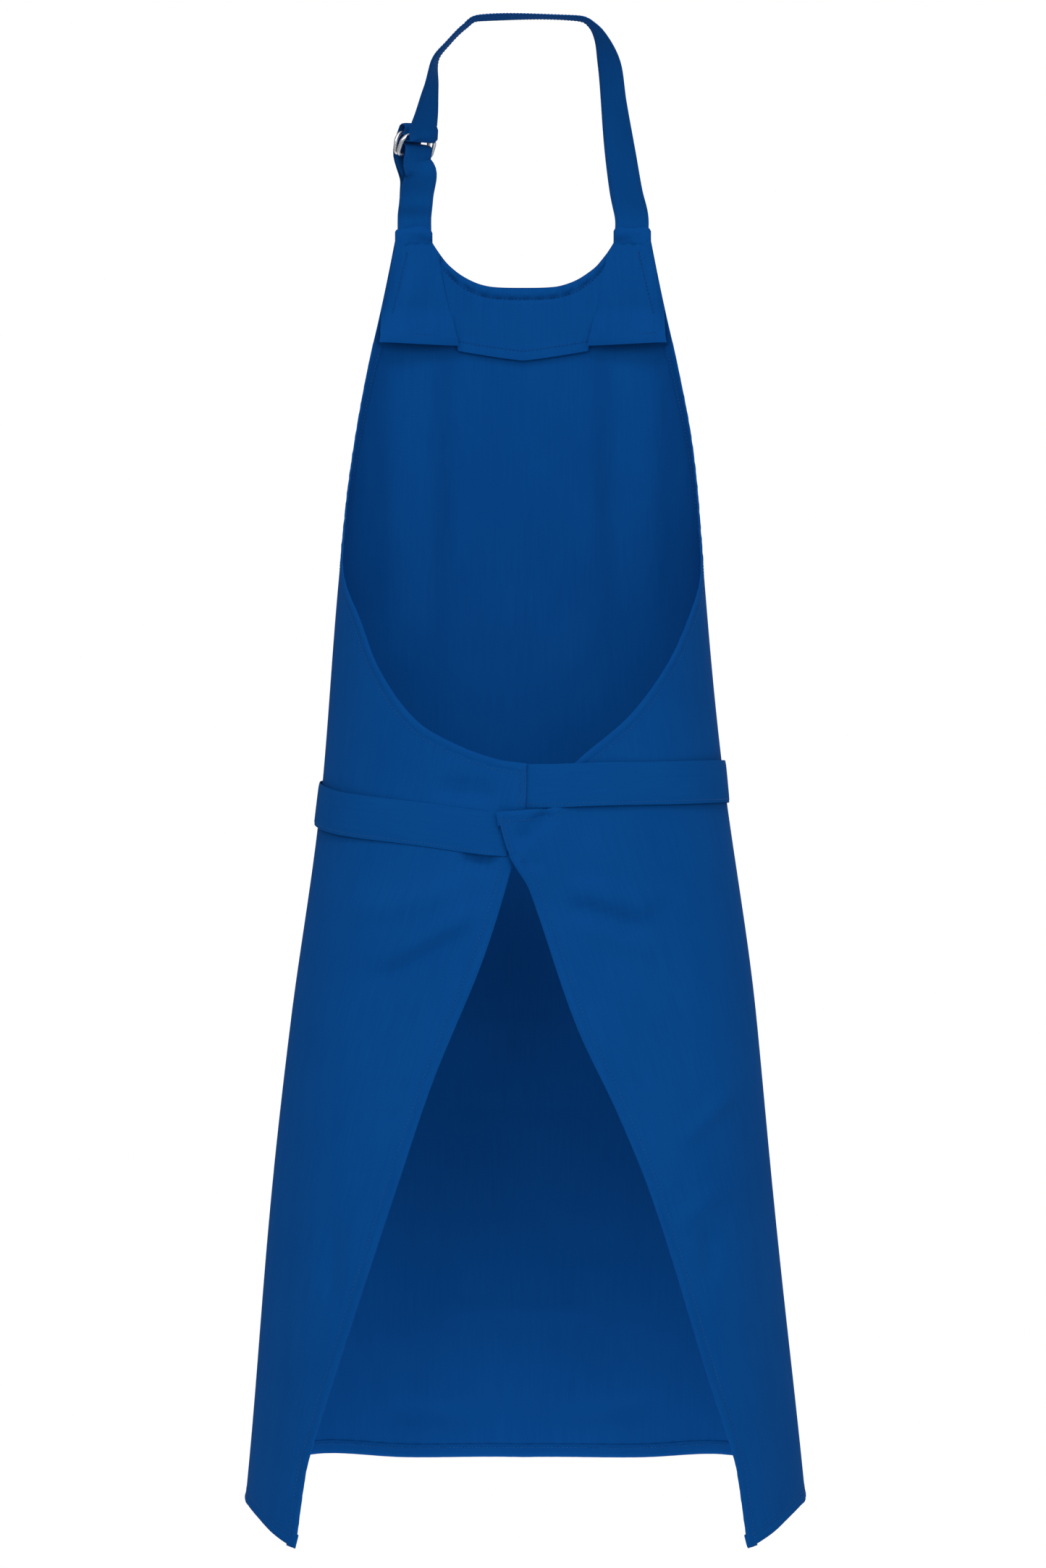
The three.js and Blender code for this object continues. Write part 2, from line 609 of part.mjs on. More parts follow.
addNode('waist_tie_left', tieRound([
  [181, leftTieHeight, CROSSING_LIFT],
  [160, leftTieHeight + 1, CROSSING_LIFT],
  [140, leftTieHeight + 2, 0],
  [90, leftTieHeight + 3, 0],
  [knotEdge, KNOT_HEIGHT, 0],
], 30), COLOURS.tie);

addNode('waist_tie_right', tieRound([
  [184, rightTieHeight, CROSSING_LIFT],
  [190, rightTieHeight + 1, CROSSING_LIFT],
  [210, rightTieHeight + 8, 0],
  [270, WAIST - 11, 0],
  [360 - knotEdge, KNOT_HEIGHT, 0],
], 30), COLOURS.tie);

// --- The bow: knot, two loops and two hanging ends ---------------------------------------------

const knotOffset = CLOTH / 2 + LAYER_GAP + KNOT.y;

function bowKnot() {
  const knot = new THREE.SphereGeometry(1, 16, 10);
  knot.scale(KNOT.x, KNOT.y, KNOT.z);
  const seat = onBody(0, KNOT_HEIGHT, knotOffset);
  return knot.translate(seat.x, seat.y, seat.z);
}

const LOOP_PINCH = 0.35; // how far a loop has opened where it leaves the knot
const LOOP_OPENING = 1.4; // and how fast it opens to its full width

/** One loop of the bow: out along the waist, folded, and back behind itself. */
function bowLoop(side) {
  const start = KNOT.x + LAYER_GAP;
  const layer = (offset, from, to) =>
    evenly(5, from, to).map((share) => {
      const reach = THREE.MathUtils.lerp(start, BOW_REACH, share);
      const height = KNOT_HEIGHT - BOW_DROOP * share ** 1.5;
      const spread = Math.sin((Math.PI / 2) * Math.min(1, LOOP_PINCH + share * LOOP_OPENING));
      const lift = offset + LOOP_PUFF * Math.sin(Math.PI * share) * (offset > knotOffset ? 1 : 0);
      const centre = onBody(angleAt(side * reach, height), height, lift);
      const up = new THREE.Vector3((side * BOW_DROOP) / BOW_REACH, 0, 1);
      return station(centre, up, TIE_WIDTH * spread, CLOTH);
    });
  const front = layer(knotOffset + LOOP_HALF_GAP, 0, 1);
  const back = layer(knotOffset - LOOP_HALF_GAP, 1, 0);
  const foldHeight = KNOT_HEIGHT - BOW_DROOP - 1;
  const fold = station(
    onBody(angleAt(side * (BOW_REACH + LOOP_HALF_GAP), foldHeight), foldHeight, knotOffset),
    front[5].across,
    TIE_WIDTH,
    CLOTH,
  );
  return ribbon([...front, fold, ...back]);
}

/** One hanging end of a tie, below the knot. */
function tieTail(side, layer) {
  const offset = TIE_OFFSET + layer * (CLOTH + TIE_GAP);
  const top = KNOT_HEIGHT - KNOT.z - TIE_GAP;
  return ribbon(evenly(8).map((share) => {
    const height = top - TAIL_LENGTH * share;
    const reach = side * (TAIL_START + TAIL_SPLAY * share);
    const width = TIE_WIDTH * THREE.MathUtils.lerp(0.5, 1, Math.min(1, share * 4));
    const angle = angleAt(reach, height);
    const across = onBody(angle + 1, height, 0).sub(onBody(angle - 1, height, 0));
    across.z += TAIL_LEAN * side * across.length();
    return station(onBody(angle, height, offset), across, width, CLOTH);
  }));
}

addNode('bow_knot', bowKnot(), COLOURS.tie);
addNode('bow_loop_left', bowLoop(-1), COLOURS.tie);
addNode('bow_loop_right', bowLoop(1), COLOURS.tie);
addNode('tie_end_left', tieTail(-1, 1), COLOURS.tie);
addNode('tie_end_right', tieTail(1, 2), COLOURS.tie);

export default apron;
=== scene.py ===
import json
import math

import bmesh
import bpy
import numpy as np
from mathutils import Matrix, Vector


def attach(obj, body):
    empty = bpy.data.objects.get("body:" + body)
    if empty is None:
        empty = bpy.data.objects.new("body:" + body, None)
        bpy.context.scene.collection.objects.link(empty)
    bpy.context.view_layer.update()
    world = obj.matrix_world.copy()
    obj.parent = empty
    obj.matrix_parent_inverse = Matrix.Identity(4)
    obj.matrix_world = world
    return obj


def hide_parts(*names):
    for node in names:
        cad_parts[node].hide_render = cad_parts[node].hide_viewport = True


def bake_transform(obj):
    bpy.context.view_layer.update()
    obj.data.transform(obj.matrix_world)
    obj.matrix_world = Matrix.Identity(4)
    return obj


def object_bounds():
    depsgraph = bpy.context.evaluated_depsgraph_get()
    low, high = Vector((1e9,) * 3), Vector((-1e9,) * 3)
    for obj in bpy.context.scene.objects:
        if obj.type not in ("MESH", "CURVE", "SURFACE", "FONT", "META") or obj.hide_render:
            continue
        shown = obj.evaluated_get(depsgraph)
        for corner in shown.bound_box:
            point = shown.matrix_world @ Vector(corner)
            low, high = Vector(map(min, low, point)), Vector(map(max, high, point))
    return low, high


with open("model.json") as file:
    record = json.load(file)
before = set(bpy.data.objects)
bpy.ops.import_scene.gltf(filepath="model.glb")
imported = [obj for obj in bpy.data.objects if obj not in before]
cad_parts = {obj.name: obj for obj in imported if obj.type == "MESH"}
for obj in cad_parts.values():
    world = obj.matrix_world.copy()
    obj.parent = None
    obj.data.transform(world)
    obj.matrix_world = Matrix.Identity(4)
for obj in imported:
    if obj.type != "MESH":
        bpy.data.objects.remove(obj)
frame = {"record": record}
cad_low, cad_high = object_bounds()
bpy.ops.object.select_all(action="DESELECT")

# --- Camera, floor and light -------------------------------------------------------------------
# The apron is seen from behind, level with the waist, as if worn by nobody: through its open
# back the inside of the bib shows. A plain pale floor lies below it.
CAMERA_DISTANCE = 3.70
CAMERA_HEIGHT = -0.5816
VIEW_ANGLE = 18.3  # over the taller side of the view, in degrees
FLOOR_DROP = 0.34  # hem to floor
FLOOR_RADIUS = 1.45
FLOOR_COLOUR = (0.82, 0.82, 0.81, 1)
SKY_LIGHT = (0.40, 0.46)  # from straight below, from straight above
WAIST_AIM = (0, 0, -0.5)
# Each light: place, aim, size and power. The last is small and lies under the hem, for the light
# that a pale floor throws up inside the skirt.
LIGHTS = {
    "key light": ((-1.1, -3.3, 1.1), WAIST_AIM, 2.2, 36),
    "fill light": ((1.4, -3.2, 0.5), WAIST_AIM, 2.4, 26),
    "front light": ((0.6, 3.2, 1.2), WAIST_AIM, 2.4, 60),
    "top light": ((0, -2.2, 2.4), (0, 0, -0.3), 0.9, 28),
    "floor light": ((0, -0.02, -1.42), (0, 0.02, -0.6), 0.5, 1.2),
}

camera_data = bpy.data.cameras.new("camera")
camera_data.angle = math.radians(VIEW_ANGLE)
camera = bpy.data.objects.new("camera", camera_data)
camera.location = (0, -CAMERA_DISTANCE, CAMERA_HEIGHT)
camera.rotation_euler = (math.radians(90), 0, 0)
bpy.context.collection.objects.link(camera)
bpy.context.scene.camera = camera
bpy.context.scene.view_settings.view_transform = "Standard"


def feed(tree, fed, inputs):
    """Sets each input of a node to a value, or joins another node's output to it."""
    for key, value in inputs.items():
        if isinstance(value, bpy.types.NodeSocket):
            tree.links.new(value, fed.inputs[key])
        else:
            fed.inputs[key].default_value = value


def node(tree, kind, inputs=None, **settings):
    """A new shader node of a kind, with its settings and inputs."""
    made = tree.nodes.new(kind)
    for key, value in settings.items():
        setattr(made, key, value)
    feed(tree, made, inputs or {})
    return made


def spread_over(tree, value, from_range, to_range):
    """A value's place in one range as the same place in another."""
    ends = zip(("From Min", "From Max", "To Min", "To Max"), (*from_range, *to_range))
    return node(tree, "ShaderNodeMapRange", {"Value": value, **dict(ends)}).outputs["Result"]


def new_material(name, inputs):
    """A material whose surface has these inputs, with its nodes and its surface."""
    material = bpy.data.materials.new(name)
    material.use_nodes = True
    surface = material.node_tree.nodes["Principled BSDF"]
    feed(material.node_tree, surface, inputs)
    return material, material.node_tree, surface


bpy.ops.mesh.primitive_circle_add(
    vertices=96, radius=FLOOR_RADIUS, fill_type="NGON", location=(0, 0, cad_low.z - FLOOR_DROP)
)
floor = bpy.context.object
floor.name = "floor"
bpy.ops.object.mode_set(mode="EDIT")
bpy.ops.mesh.inset(thickness=FLOOR_RADIUS * 0.1, depth=0)
bpy.ops.object.mode_set(mode="OBJECT")
bpy.ops.object.transform_apply(location=True, rotation=True, scale=True)
floor_paint = new_material("pale floor", {"Base Color": FLOOR_COLOUR, "Roughness": 0.8})[0]
floor.data.materials.append(floor_paint)


def studio_light(name, place, aim, size, power):
    """A large soft light at place, turned towards aim."""
    light = bpy.data.lights.new(name, "AREA")
    light.shape = "DISK"
    light.size = size
    light.energy = power
    lamp = bpy.data.objects.new(name, light)
    lamp.location = place
    towards = np.array(aim, float) - np.array(place, float)
    flat = math.hypot(towards[0], towards[1])
    lamp.rotation_euler = (
        math.pi / 2 + math.atan2(towards[2], flat), 0, math.atan2(-towards[0], towards[1]),
    )
    bpy.context.collection.objects.link(lamp)


for light_name, (place, aim, size, power) in LIGHTS.items():
    studio_light(light_name, place, aim, size, power)

# The sky round the studio is white to look at, bright above and dim below.
sky = bpy.data.worlds.new("white studio")
bpy.context.scene.world = sky
sky.use_nodes = True
sky_tree = sky.node_tree
sky_place = node(sky_tree, "ShaderNodeTexCoord").outputs["Generated"]
upwards = node(sky_tree, "ShaderNodeSeparateXYZ", {0: sky_place}).outputs["Z"]
strength = spread_over(sky_tree, upwards, (-1, 1), SKY_LIGHT)
seen = node(sky_tree, "ShaderNodeLightPath").outputs["Is Camera Ray"]
glow = node(sky_tree, "ShaderNodeMix", {"Factor": seen, "A": strength, "B": 1.0}).outputs["Result"]
feed(sky_tree, sky_tree.nodes["Background"], {"Color": (1, 1, 1, 1), "Strength": glow})

# --- Main panel --------------------------------------------------------------------------------
# The bib, the skirt and the two back wings are one piece of blue cotton twill. It wraps the
# body and its wings cross at the back, where it is pulled by the ties. Creases from ironing
# and from wear run down it.
TWILL = 0.0007
BIB_TOP = -0.1625
UNDERARM = -0.411
WAIST = -0.585
FRONT_HEM = -1.1135
CORNER_HEM = -1.1475
LEFT_TIP = -0.567
RIGHT_TIP = -0.603
TIP_WIDTH = 0.032
BIB_CORNER_ANGLE = 72  # degrees from the centre front, as are all these angles
HEM_CORNER_ANGLE = 128.6
# The body's shape: (height, half width), (height, half depth) and (height, middle's distance forward)
HALF_WIDTHS = [
    (BIB_TOP, 0.104), (-0.2992, 0.127), (UNDERARM, 0.137), (WAIST, 0.153), (-0.7594, 0.176),
    (CORNER_HEM, 0.214),
]
HALF_DEPTHS = [(BIB_TOP, 0.018), (UNDERARM, 0.098), (WAIST, 0.107), (CORNER_HEM, 0.150)]
MIDDLES = [(BIB_TOP, 0.056), (UNDERARM, 0), (WAIST, 0), (CORNER_HEM, 0)]
# The side edges: (height, degrees from the centre front), down to the tips and on to the hem
BIB_EDGE = [
    (BIB_TOP + share * (UNDERARM - BIB_TOP), BIB_CORNER_ANGLE + 25 * share**1.5)
    for share in np.linspace(0, 1, 6)
]
LEFT_ARMHOLE = BIB_EDGE + [
    (-0.4547, 118), (-0.4952, 131), (-0.5358, 148), (-0.5530, 161), (-0.5639, 173), (LEFT_TIP, 181),
]
RIGHT_ARMHOLE = BIB_EDGE + [
    (-0.4552, 117), (-0.4936, 132), (-0.5320, 148), (-0.5684, 166), (-0.5992, 172), (RIGHT_TIP, 187),
]
LEFT_FREE_EDGE = [
    (LEFT_TIP, 181), (LEFT_TIP - TIP_WIDTH, 180.6), (-0.6396, 177.2), (-0.7121, 169.7), (-0.7992, 158.3),
    (-0.8747, 150.5), (-1.0082, 137.7), (-1.0735, 131.4), (-1.0919, 130),
    (CORNER_HEM, HEM_CORNER_ANGLE),
]
RIGHT_FREE_EDGE = [
    (RIGHT_TIP, 187), (RIGHT_TIP - TIP_WIDTH, 183.4), (-0.6602, 178.2), (-0.7598, 166.9), (-0.8208, 158),
    (-0.8829, 150.3), (-1.0114, 138), (-1.0735, 131.4), (-1.0919, 130),
    (CORNER_HEM, HEM_CORNER_ANGLE),
]
# The bottom edge: (share of the way from the centre front to a wing's corner, height)
BOTTOM_EDGE = [
    (0, FRONT_HEM), (-0.20, -1.1110), (-0.38, -1.1038), (-0.55, -1.1092), (-0.70, -1.1245),
    (-0.775, -1.1262), (-0.853, -1.1314), (-0.93, -1.1399), (-1, CORNER_HEM),
]
NECKLINE_HALF_WIDTH = 0.070
NECKLINE_DEPTH = 0.034
NECK_CORNER = 0.0989  # bib's top corner, from the middle
COLUMNS = 220
ROWS = 220


def smooth_along(stations, heights):
    """Values on a smooth curve through (height, value) stations listed from the top down."""
    levels, values = np.array(stations, float).T
    last = len(levels) - 1
    before = np.maximum(np.arange(last + 1) - 1, 0)
    after = np.minimum(np.arange(last + 1) + 1, last)
    slopes = (values[after] - values[before]) / (levels[after] - levels[before])
    k = np.clip(np.searchsorted(-levels, -heights), 1, last)
    span = levels[k] - levels[k - 1]
    t = np.clip((heights - levels[k - 1]) / span, 0, 1)
    start, end = values[k - 1], values[k]
    start_slope, end_slope = slopes[k - 1] * span, slopes[k] * span
    bend = 2 * start - 2 * end + start_slope + end_slope
    swing = 3 * end - 3 * start - 2 * start_slope - end_slope
    return start + t * (start_slope + t * (swing + t * bend))


def unit(vectors):
    """The same directions, each of length 1."""
    return vectors / np.linalg.norm(vectors, axis=-1, keepdims=True)


def ramp(values, start, end):
    """0 at start, 1 at end and smooth between them."""
    t = np.clip((values - start) / (end - start), 0, 1)
    return t * t * (3 - 2 * t)


def body_point(angle, height):
    """A point on the body: angle in degrees from the centre front towards +X."""
    turn = np.radians(angle)
    x = smooth_along(HALF_WIDTHS, height) * np.sin(turn)
    y = smooth_along(MIDDLES, height) + smooth_along(HALF_DEPTHS, height) * np.cos(turn)
    return np.stack([x, y, height], axis=-1)


def outward(angle, height):
    """The direction straight out from the body at a point of it."""
    around = body_point(angle + 0.5, height) - body_point(angle - 0.5, height)
    down = body_point(angle, height - 0.001) - body_point(angle, height + 0.001)
    return unit(np.cross(around, down))


def on_body(angle, height, offset):
    """A point on the body's plain shape, moved outwards by offset."""
    angle, height = np.broadcast_arrays(np.asarray(angle, float), np.asarray(height, float))
    offset = np.broadcast_to(offset, angle.shape)
    return body_point(angle, height) + outward(angle, height) * offset[..., None]


def side_angle(side, level):
    """Where the cloth's side edge is, in degrees: side is -1 on the wearer's left, 1 on the right."""
    left, right = (LEFT_TIP, LEFT_ARMHOLE, LEFT_FREE_EDGE), (RIGHT_TIP, RIGHT_ARMHOLE, RIGHT_FREE_EDGE)
    tip, armhole, free_edge = left if side < 0 else right
    return np.where(level > tip, smooth_along(armhole, level), smooth_along(free_edge, level))


def neckline(x):
    """The height of the bib's top edge, a flat-bottomed dip between its corners."""
    reach = np.minimum(np.abs(x) / NECKLINE_HALF_WIDTH, 1)
    return BIB_TOP - NECKLINE_DEPTH * (1 - reach**3.5)


def hem_height(across):
    """The bottom edge: across is -1 at the left wing's corner, 0 in front and 1 at the right."""
    return smooth_along(BOTTOM_EDGE, -np.abs(across))


def crease(x, height, start, end, width, rise):
    """A soft crease along the line from start to end, each (x, height). rise is outwards."""
    start, end = np.array(start), np.array(end)
    along = end - start
    length = np.hypot(*along)
    along = along / length
    u = ((x - start[0]) * along[0] + (height - start[1]) * along[1]) / length
    v = (x - start[0]) * along[1] - (height - start[1]) * along[0]
    fade = ramp(u, -0.25, 0.2) * ramp(u, 1.25, 0.75)
    return rise * fade * np.exp(-((v / width) ** 2))


# Creases of the bib and of the skirt's front: from, to, width and rise, outwards being away
# from the body
FRONT_CREASES = [
    ((0.0000, -0.330), (0.0010, -0.540), 0.0040, -0.0011),
    ((-0.0060, -0.745), (-0.0030, -0.810), 0.0045, -0.0009),
    ((0.0050, -0.824), (0.0015, -0.915), 0.0040, -0.0008),
    ((-0.0260, -0.700), (-0.0240, -0.830), 0.0040, 0.0006),
    ((0.0300, -0.710), (0.0320, -0.835), 0.0040, 0.0006),
    ((-0.0440, -0.759), (0.0530, -0.758), 0.0035, 0.0007),
    ((-0.0440, -0.837), (0.0530, -0.838), 0.0035, 0.0007),
    ((-0.0700, -0.938), (-0.0710, -0.992), 0.0060, 0.0009),
    ((0.0680, -0.938), (0.0690, -0.992), 0.0060, 0.0009),
    ((-0.0600, -0.995), (0.0550, -0.996), 0.0050, -0.0006),
    ((-0.1000, -1.074), (-0.0400, -1.083), 0.0060, 0.0011),
    ((0.0350, -1.082), (0.1000, -1.070), 0.0060, 0.0011),
]
# Creases of the wings: drag lines from the tips, and a few small ones lower down
BACK_CREASES = [
    ((-0.0390, -0.679), (-0.1030, -0.7135), 0.0085, 0.0054),
    ((-0.0440, -0.6905), (-0.1060, -0.7260), 0.0070, -0.0040),
    ((-0.0550, -0.662), (-0.1200, -0.676), 0.0090, 0.0032),
    ((0.0380, -0.671), (0.0850, -0.6890), 0.0075, -0.0047),
    ((0.0420, -0.660), (0.1050, -0.6740), 0.0090, 0.0040),
    ((0.0480, -0.684), (0.0950, -0.7060), 0.0080, 0.0032),
    ((0.0950, -0.672), (0.1120, -0.6740), 0.0070, -0.0025),
    ((-0.0600, -0.584), (-0.0240, -0.5890), 0.0065, -0.0040),
    ((0.0190, -0.603), (-0.0060, -0.6230), 0.0045, -0.0047),
    ((0.0090, -0.6095), (-0.0020, -0.6130), 0.0040, 0.0022),
    ((0.0020, -0.6390), (0.0160, -0.6410), 0.0030, -0.0029),
    ((-0.0430, -0.6350), (-0.0220, -0.6400), 0.0060, -0.0054),
    ((0.0820, -0.799), (0.0900, -0.8040), 0.0030, -0.0018),
    ((0.1190, -0.8445), (0.1540, -0.8125), 0.0060, 0.0029),
    ((0.1150, -0.9060), (0.1430, -0.8850), 0.0060, 0.0025),
    ((-0.0890, -0.8000), (-0.0905, -0.8060), 0.0030, -0.0018),
    ((-0.0970, -0.8230), (-0.0990, -0.8290), 0.0030, -0.0018),
    ((-0.1400, -0.910), (-0.1420, -0.960), 0.0080, -0.0029),
    ((0.1380, -0.915), (0.1400, -0.945), 0.0080, -0.0029),
]
BIB_FOLD = 0.0030  # height of the soft folds down the bib
SKIRT_WAVE = 0.0024
PUCKER = 0.0006
RIGHT_WING_LIFT = 0.0050  # where the right wing's corner crosses over the left wing
TIP_LIFT = 0.0030  # where a tip lies over the start of its tie


def drape(angle, height):
    """How far the cloth stands off the plain shape of the body."""
    angle, height = np.broadcast_arrays(angle, height)
    place = body_point(angle, height)
    x = place[..., 0]
    front = ramp(np.abs(angle), 88, 70)
    back = 1 - front
    lift = np.zeros(x.shape)
    for start, end, width, rise in FRONT_CREASES:
        lift += front * crease(x, height, start, end, width, rise)
    for start, end, width, rise in BACK_CREASES:
        lift += back * crease(x, height, start, end, width, rise)
    # Two soft ridges down the bib, one below each strap, with a hollow on either side
    bib = ramp(height, -0.56, -0.44) * ramp(height, -0.225, -0.27)
    reach = np.abs(x)
    ridge = np.exp(-(((reach - 0.073) / 0.012) ** 2))
    hollow = np.exp(-(((reach - 0.050) / 0.011) ** 2)) * ramp(height, -0.42, -0.36)
    outer = np.exp(-(((reach - 0.101) / 0.012) ** 2)) * ramp(height, -0.49, -0.43)
    lift += front * bib * BIB_FOLD * (0.8 * hollow + outer - ridge)
    # Long soft waves down the skirt
    low = ramp(height, -0.64, -0.95)
    turn = np.radians(angle)
    lift += SKIRT_WAVE * low * (np.sin(5 * turn + 0.8) * 0.55 + np.sin(8.3 * turn + 2.1) * 0.35)
    lift += 0.0012 * np.sin(3.1 * turn + 14 * height) * ramp(height, -0.26, -0.36)
    # Small gathers along the neckline seam
    below = np.maximum(neckline(x) - height, 0)
    near_neck = front * np.exp(-((below / 0.008) ** 2)) * ramp(reach, 0.074, 0.060)
    gather = np.sin(2 * math.pi * x / 0.0125 + 1.3 * np.sin(x * 90))
    lift += PUCKER * near_neck * gather
    # The right wing's corner over the left wing, and both tips over their ties
    over = ramp(height, WAIST, WAIST - 0.017) * ramp(height, WAIST - 0.092, WAIST - 0.058)
    lift += RIGHT_WING_LIFT * ramp(angle, 163, 178) * over
    at_left_tip = ramp(height, LEFT_TIP - TIP_WIDTH - 0.012, LEFT_TIP - TIP_WIDTH + 0.002)
    lift += TIP_LIFT * ramp(-angle, 171, 179) * at_left_tip
    return lift


def on_cloth(angle, height, offset):
    """A point on the cloth's own shape, moved outwards by offset."""
    angle, height = np.broadcast_arrays(np.asarray(angle, float), np.asarray(height, float))
    return on_body(angle, height, np.broadcast_to(offset, angle.shape) + drape(angle, height))


def mesh_piece(name, points, faces, flat_places, material, sharp=50):
    """A mesh object from points, faces and each point's place on the flat cloth, in metres."""
    mesh = bpy.data.meshes.new(name)
    mesh.from_pydata(np.asarray(points).reshape(-1, 3).tolist(), [], faces)
    layer = mesh.uv_layers.new(name="cloth")
    corner_points = np.zeros(len(mesh.loops), np.int32)
    mesh.loops.foreach_get("vertex_index", corner_points)
    places = np.asarray(flat_places, np.float32).reshape(-1, 2)
    layer.data.foreach_set("uv", places[corner_points].ravel())
    shape = bmesh.new()
    shape.from_mesh(mesh)
    if shape.calc_volume(signed=True) < 0:
        bmesh.ops.reverse_faces(shape, faces=shape.faces)
    shape.to_mesh(mesh)
    shape.free()
    mesh.polygons.foreach_set("use_smooth", np.ones(len(mesh.polygons), bool))
    mesh.set_sharp_from_angle(angle=math.radians(sharp))
    mesh.materials.append(material)
    piece = bpy.data.objects.new(name, mesh)
    bpy.context.collection.objects.link(piece)
    return piece


def closed_sheet(name, outer, inner, flat_places, material):
    """A closed piece of cloth between an outer and an inner grid of points."""
    rows, columns = outer.shape[:2]
    number = np.arange(rows * columns).reshape(rows, columns)
    back = number + rows * columns
    a, b, c, d = number[:-1, :-1], number[:-1, 1:], number[1:, 1:], number[1:, :-1]
    quads = [np.stack([a, b, c, d], -1).reshape(-1, 4)]
    a, b, c, d = back[:-1, :-1], back[1:, :-1], back[1:, 1:], back[:-1, 1:]
    quads.append(np.stack([a, b, c, d], -1).reshape(-1, 4))
    rim = np.concatenate([number[0, :-1], number[:-1, -1], number[-1, :0:-1], number[:0:-1, 0]])
    following = np.roll(rim, -1)
    shift = rows * columns
    quads.append(np.stack([following, rim, rim + shift, following + shift], -1))
    points = np.concatenate([outer.reshape(-1, 3), inner.reshape(-1, 3)])
    places = np.concatenate([flat_places.reshape(-1, 2)] * 2)
    return mesh_piece(name, points, np.concatenate(quads).tolist(), places, material)


def run_along(points):
    """Each point's distance along a line of points."""
    return np.concatenate([[0], np.cumsum(np.linalg.norm(np.diff(points, axis=0), axis=-1))])


def flat_grid(points):
    """Each point's place on the flat cloth: its distance along its row, and down the middle."""
    across = np.stack([run_along(row) for row in points])
    middle = points.shape[1] // 2
    across -= across[:, middle:middle + 1]
    down = run_along(points[:, middle])
    return np.stack([across, np.broadcast_to(-down[:, None], across.shape)], -1)


# The twill weave as a node group: slanting ribs, single threads, uneven yarn and soft fading.
RIB_PITCH = 0.00075
THREADS = (2400, 900, 1)  # short floats across the ribs, per metre across and down
STREAKS = (520, 26, 1)  # long thin streaks of uneven yarn
TWILL_BLUES = ((0.0010, 0.0450, 0.203), (0.0030, 0.0740, 0.287))  # dark yarn and light yarn


def noise(tree, place, scale, detail):
    """Smooth noise at a place."""
    inputs = {"Vector": place, "Scale": scale, "Detail": detail}
    return node(tree, "ShaderNodeTexNoise", inputs).outputs["Fac"]


def sums(tree, operation, *values):
    """The result of one sum on two or three values."""
    return node(tree, "ShaderNodeMath", dict(enumerate(values)), operation=operation).outputs[0]


def mixed(tree, share, one, other):
    """A colour between two others, this share of the way."""
    inputs = {"Factor": share, 6: one, 7: other}
    return node(tree, "ShaderNodeMix", inputs, data_type="RGBA").outputs[2]


def relief(tree, surface, height, strength, depth):
    """Makes a surface look raised and sunk by a height."""
    bump = {"Height": height, "Strength": strength, "Distance": depth}
    feed(tree, surface, {"Normal": node(tree, "ShaderNodeBump", bump).outputs[0]})


def twill_weave_group():
    tree = bpy.data.node_groups.new("twill weave", "ShaderNodeTree")
    for in_out, name, kind in (
        ("INPUT", "Cloth place", "Vector"), ("INPUT", "Slant", "Float"), ("INPUT", "Dark yarn", "Color"),
        ("INPUT", "Light yarn", "Color"), ("OUTPUT", "Colour", "Color"), ("OUTPUT", "Height", "Float"),
        ("OUTPUT", "Roughness", "Float"),
    ):
        tree.interface.new_socket(name=name, in_out=in_out, socket_type="NodeSocket" + kind)
    given = node(tree, "NodeGroupInput").outputs
    place = given["Cloth place"]

    def stretched(scale, detail):
        longer = node(tree, "ShaderNodeMapping", {"Vector": place, "Scale": scale}, vector_type="POINT")
        return noise(tree, longer.outputs[0], 1.0, detail)

    # Ribs: the cloth place turned by the slant, and a wave of the rib pitch that wanders a little
    turned_place = {"Vector": place, "Angle": given["Slant"]}
    turned = node(tree, "ShaderNodeVectorRotate", turned_place, rotation_type="Z_AXIS").outputs[0]
    across = node(tree, "ShaderNodeSeparateXYZ", {0: turned}).outputs["X"]
    per_rib = sums(tree, "DIVIDE", across, RIB_PITCH)
    wander = sums(tree, "MULTIPLY_ADD", noise(tree, place, 420.0, 2.0), 0.9, per_rib)
    ribs = sums(tree, "SINE", sums(tree, "MULTIPLY", wander, 2 * math.pi))
    # Ribs, single threads, streaks and broad soft patches of fading, added up
    rib_share = spread_over(tree, ribs, (-1, 1), (0, 0.55))
    raised = sums(tree, "MULTIPLY_ADD", stretched(THREADS, 1.0), 0.5, rib_share)
    streaked = sums(tree, "MULTIPLY_ADD", stretched(STREAKS, 2.0), 0.5, raised)
    faded = sums(tree, "MULTIPLY_ADD", noise(tree, place, 14.0, 3.0), 0.5, streaked)
    light_share = spread_over(tree, faded, (0.35, 1.55), (0, 1))
    node(tree, "NodeGroupOutput", {
        "Colour": mixed(tree, light_share, given["Dark yarn"], given["Light yarn"]),
        "Height": raised,
        "Roughness": spread_over(tree, light_share, (0, 1), (0.94, 0.8)),
    })
    return tree


TWILL_WEAVE = twill_weave_group()


def twill(name, slant, blues=TWILL_BLUES):
    """Cotton twill of two near blues, its ribs slanting by this many radians."""
    material, tree, surface = new_material(name, {
        "Sheen Weight": 0.05,
        "Sheen Roughness": 0.6,
        "Sheen Tint": (0.05, 0.3, 1, 1),
        "Specular IOR Level": 0.02,
    })
    weave = node(tree, "ShaderNodeGroup", node_tree=TWILL_WEAVE)
    feed(tree, weave, {
        "Cloth place": node(tree, "ShaderNodeUVMap", uv_map="cloth").outputs[0],
        "Slant": slant,
        "Dark yarn": (*blues[0], 1),
        "Light yarn": (*blues[1], 1),
    })
    woven = {"Base Color": weave.outputs["Colour"], "Roughness": weave.outputs["Roughness"]}
    feed(tree, surface, woven)
    relief(tree, surface, weave.outputs["Height"], 0.25, 0.00012)
    return material


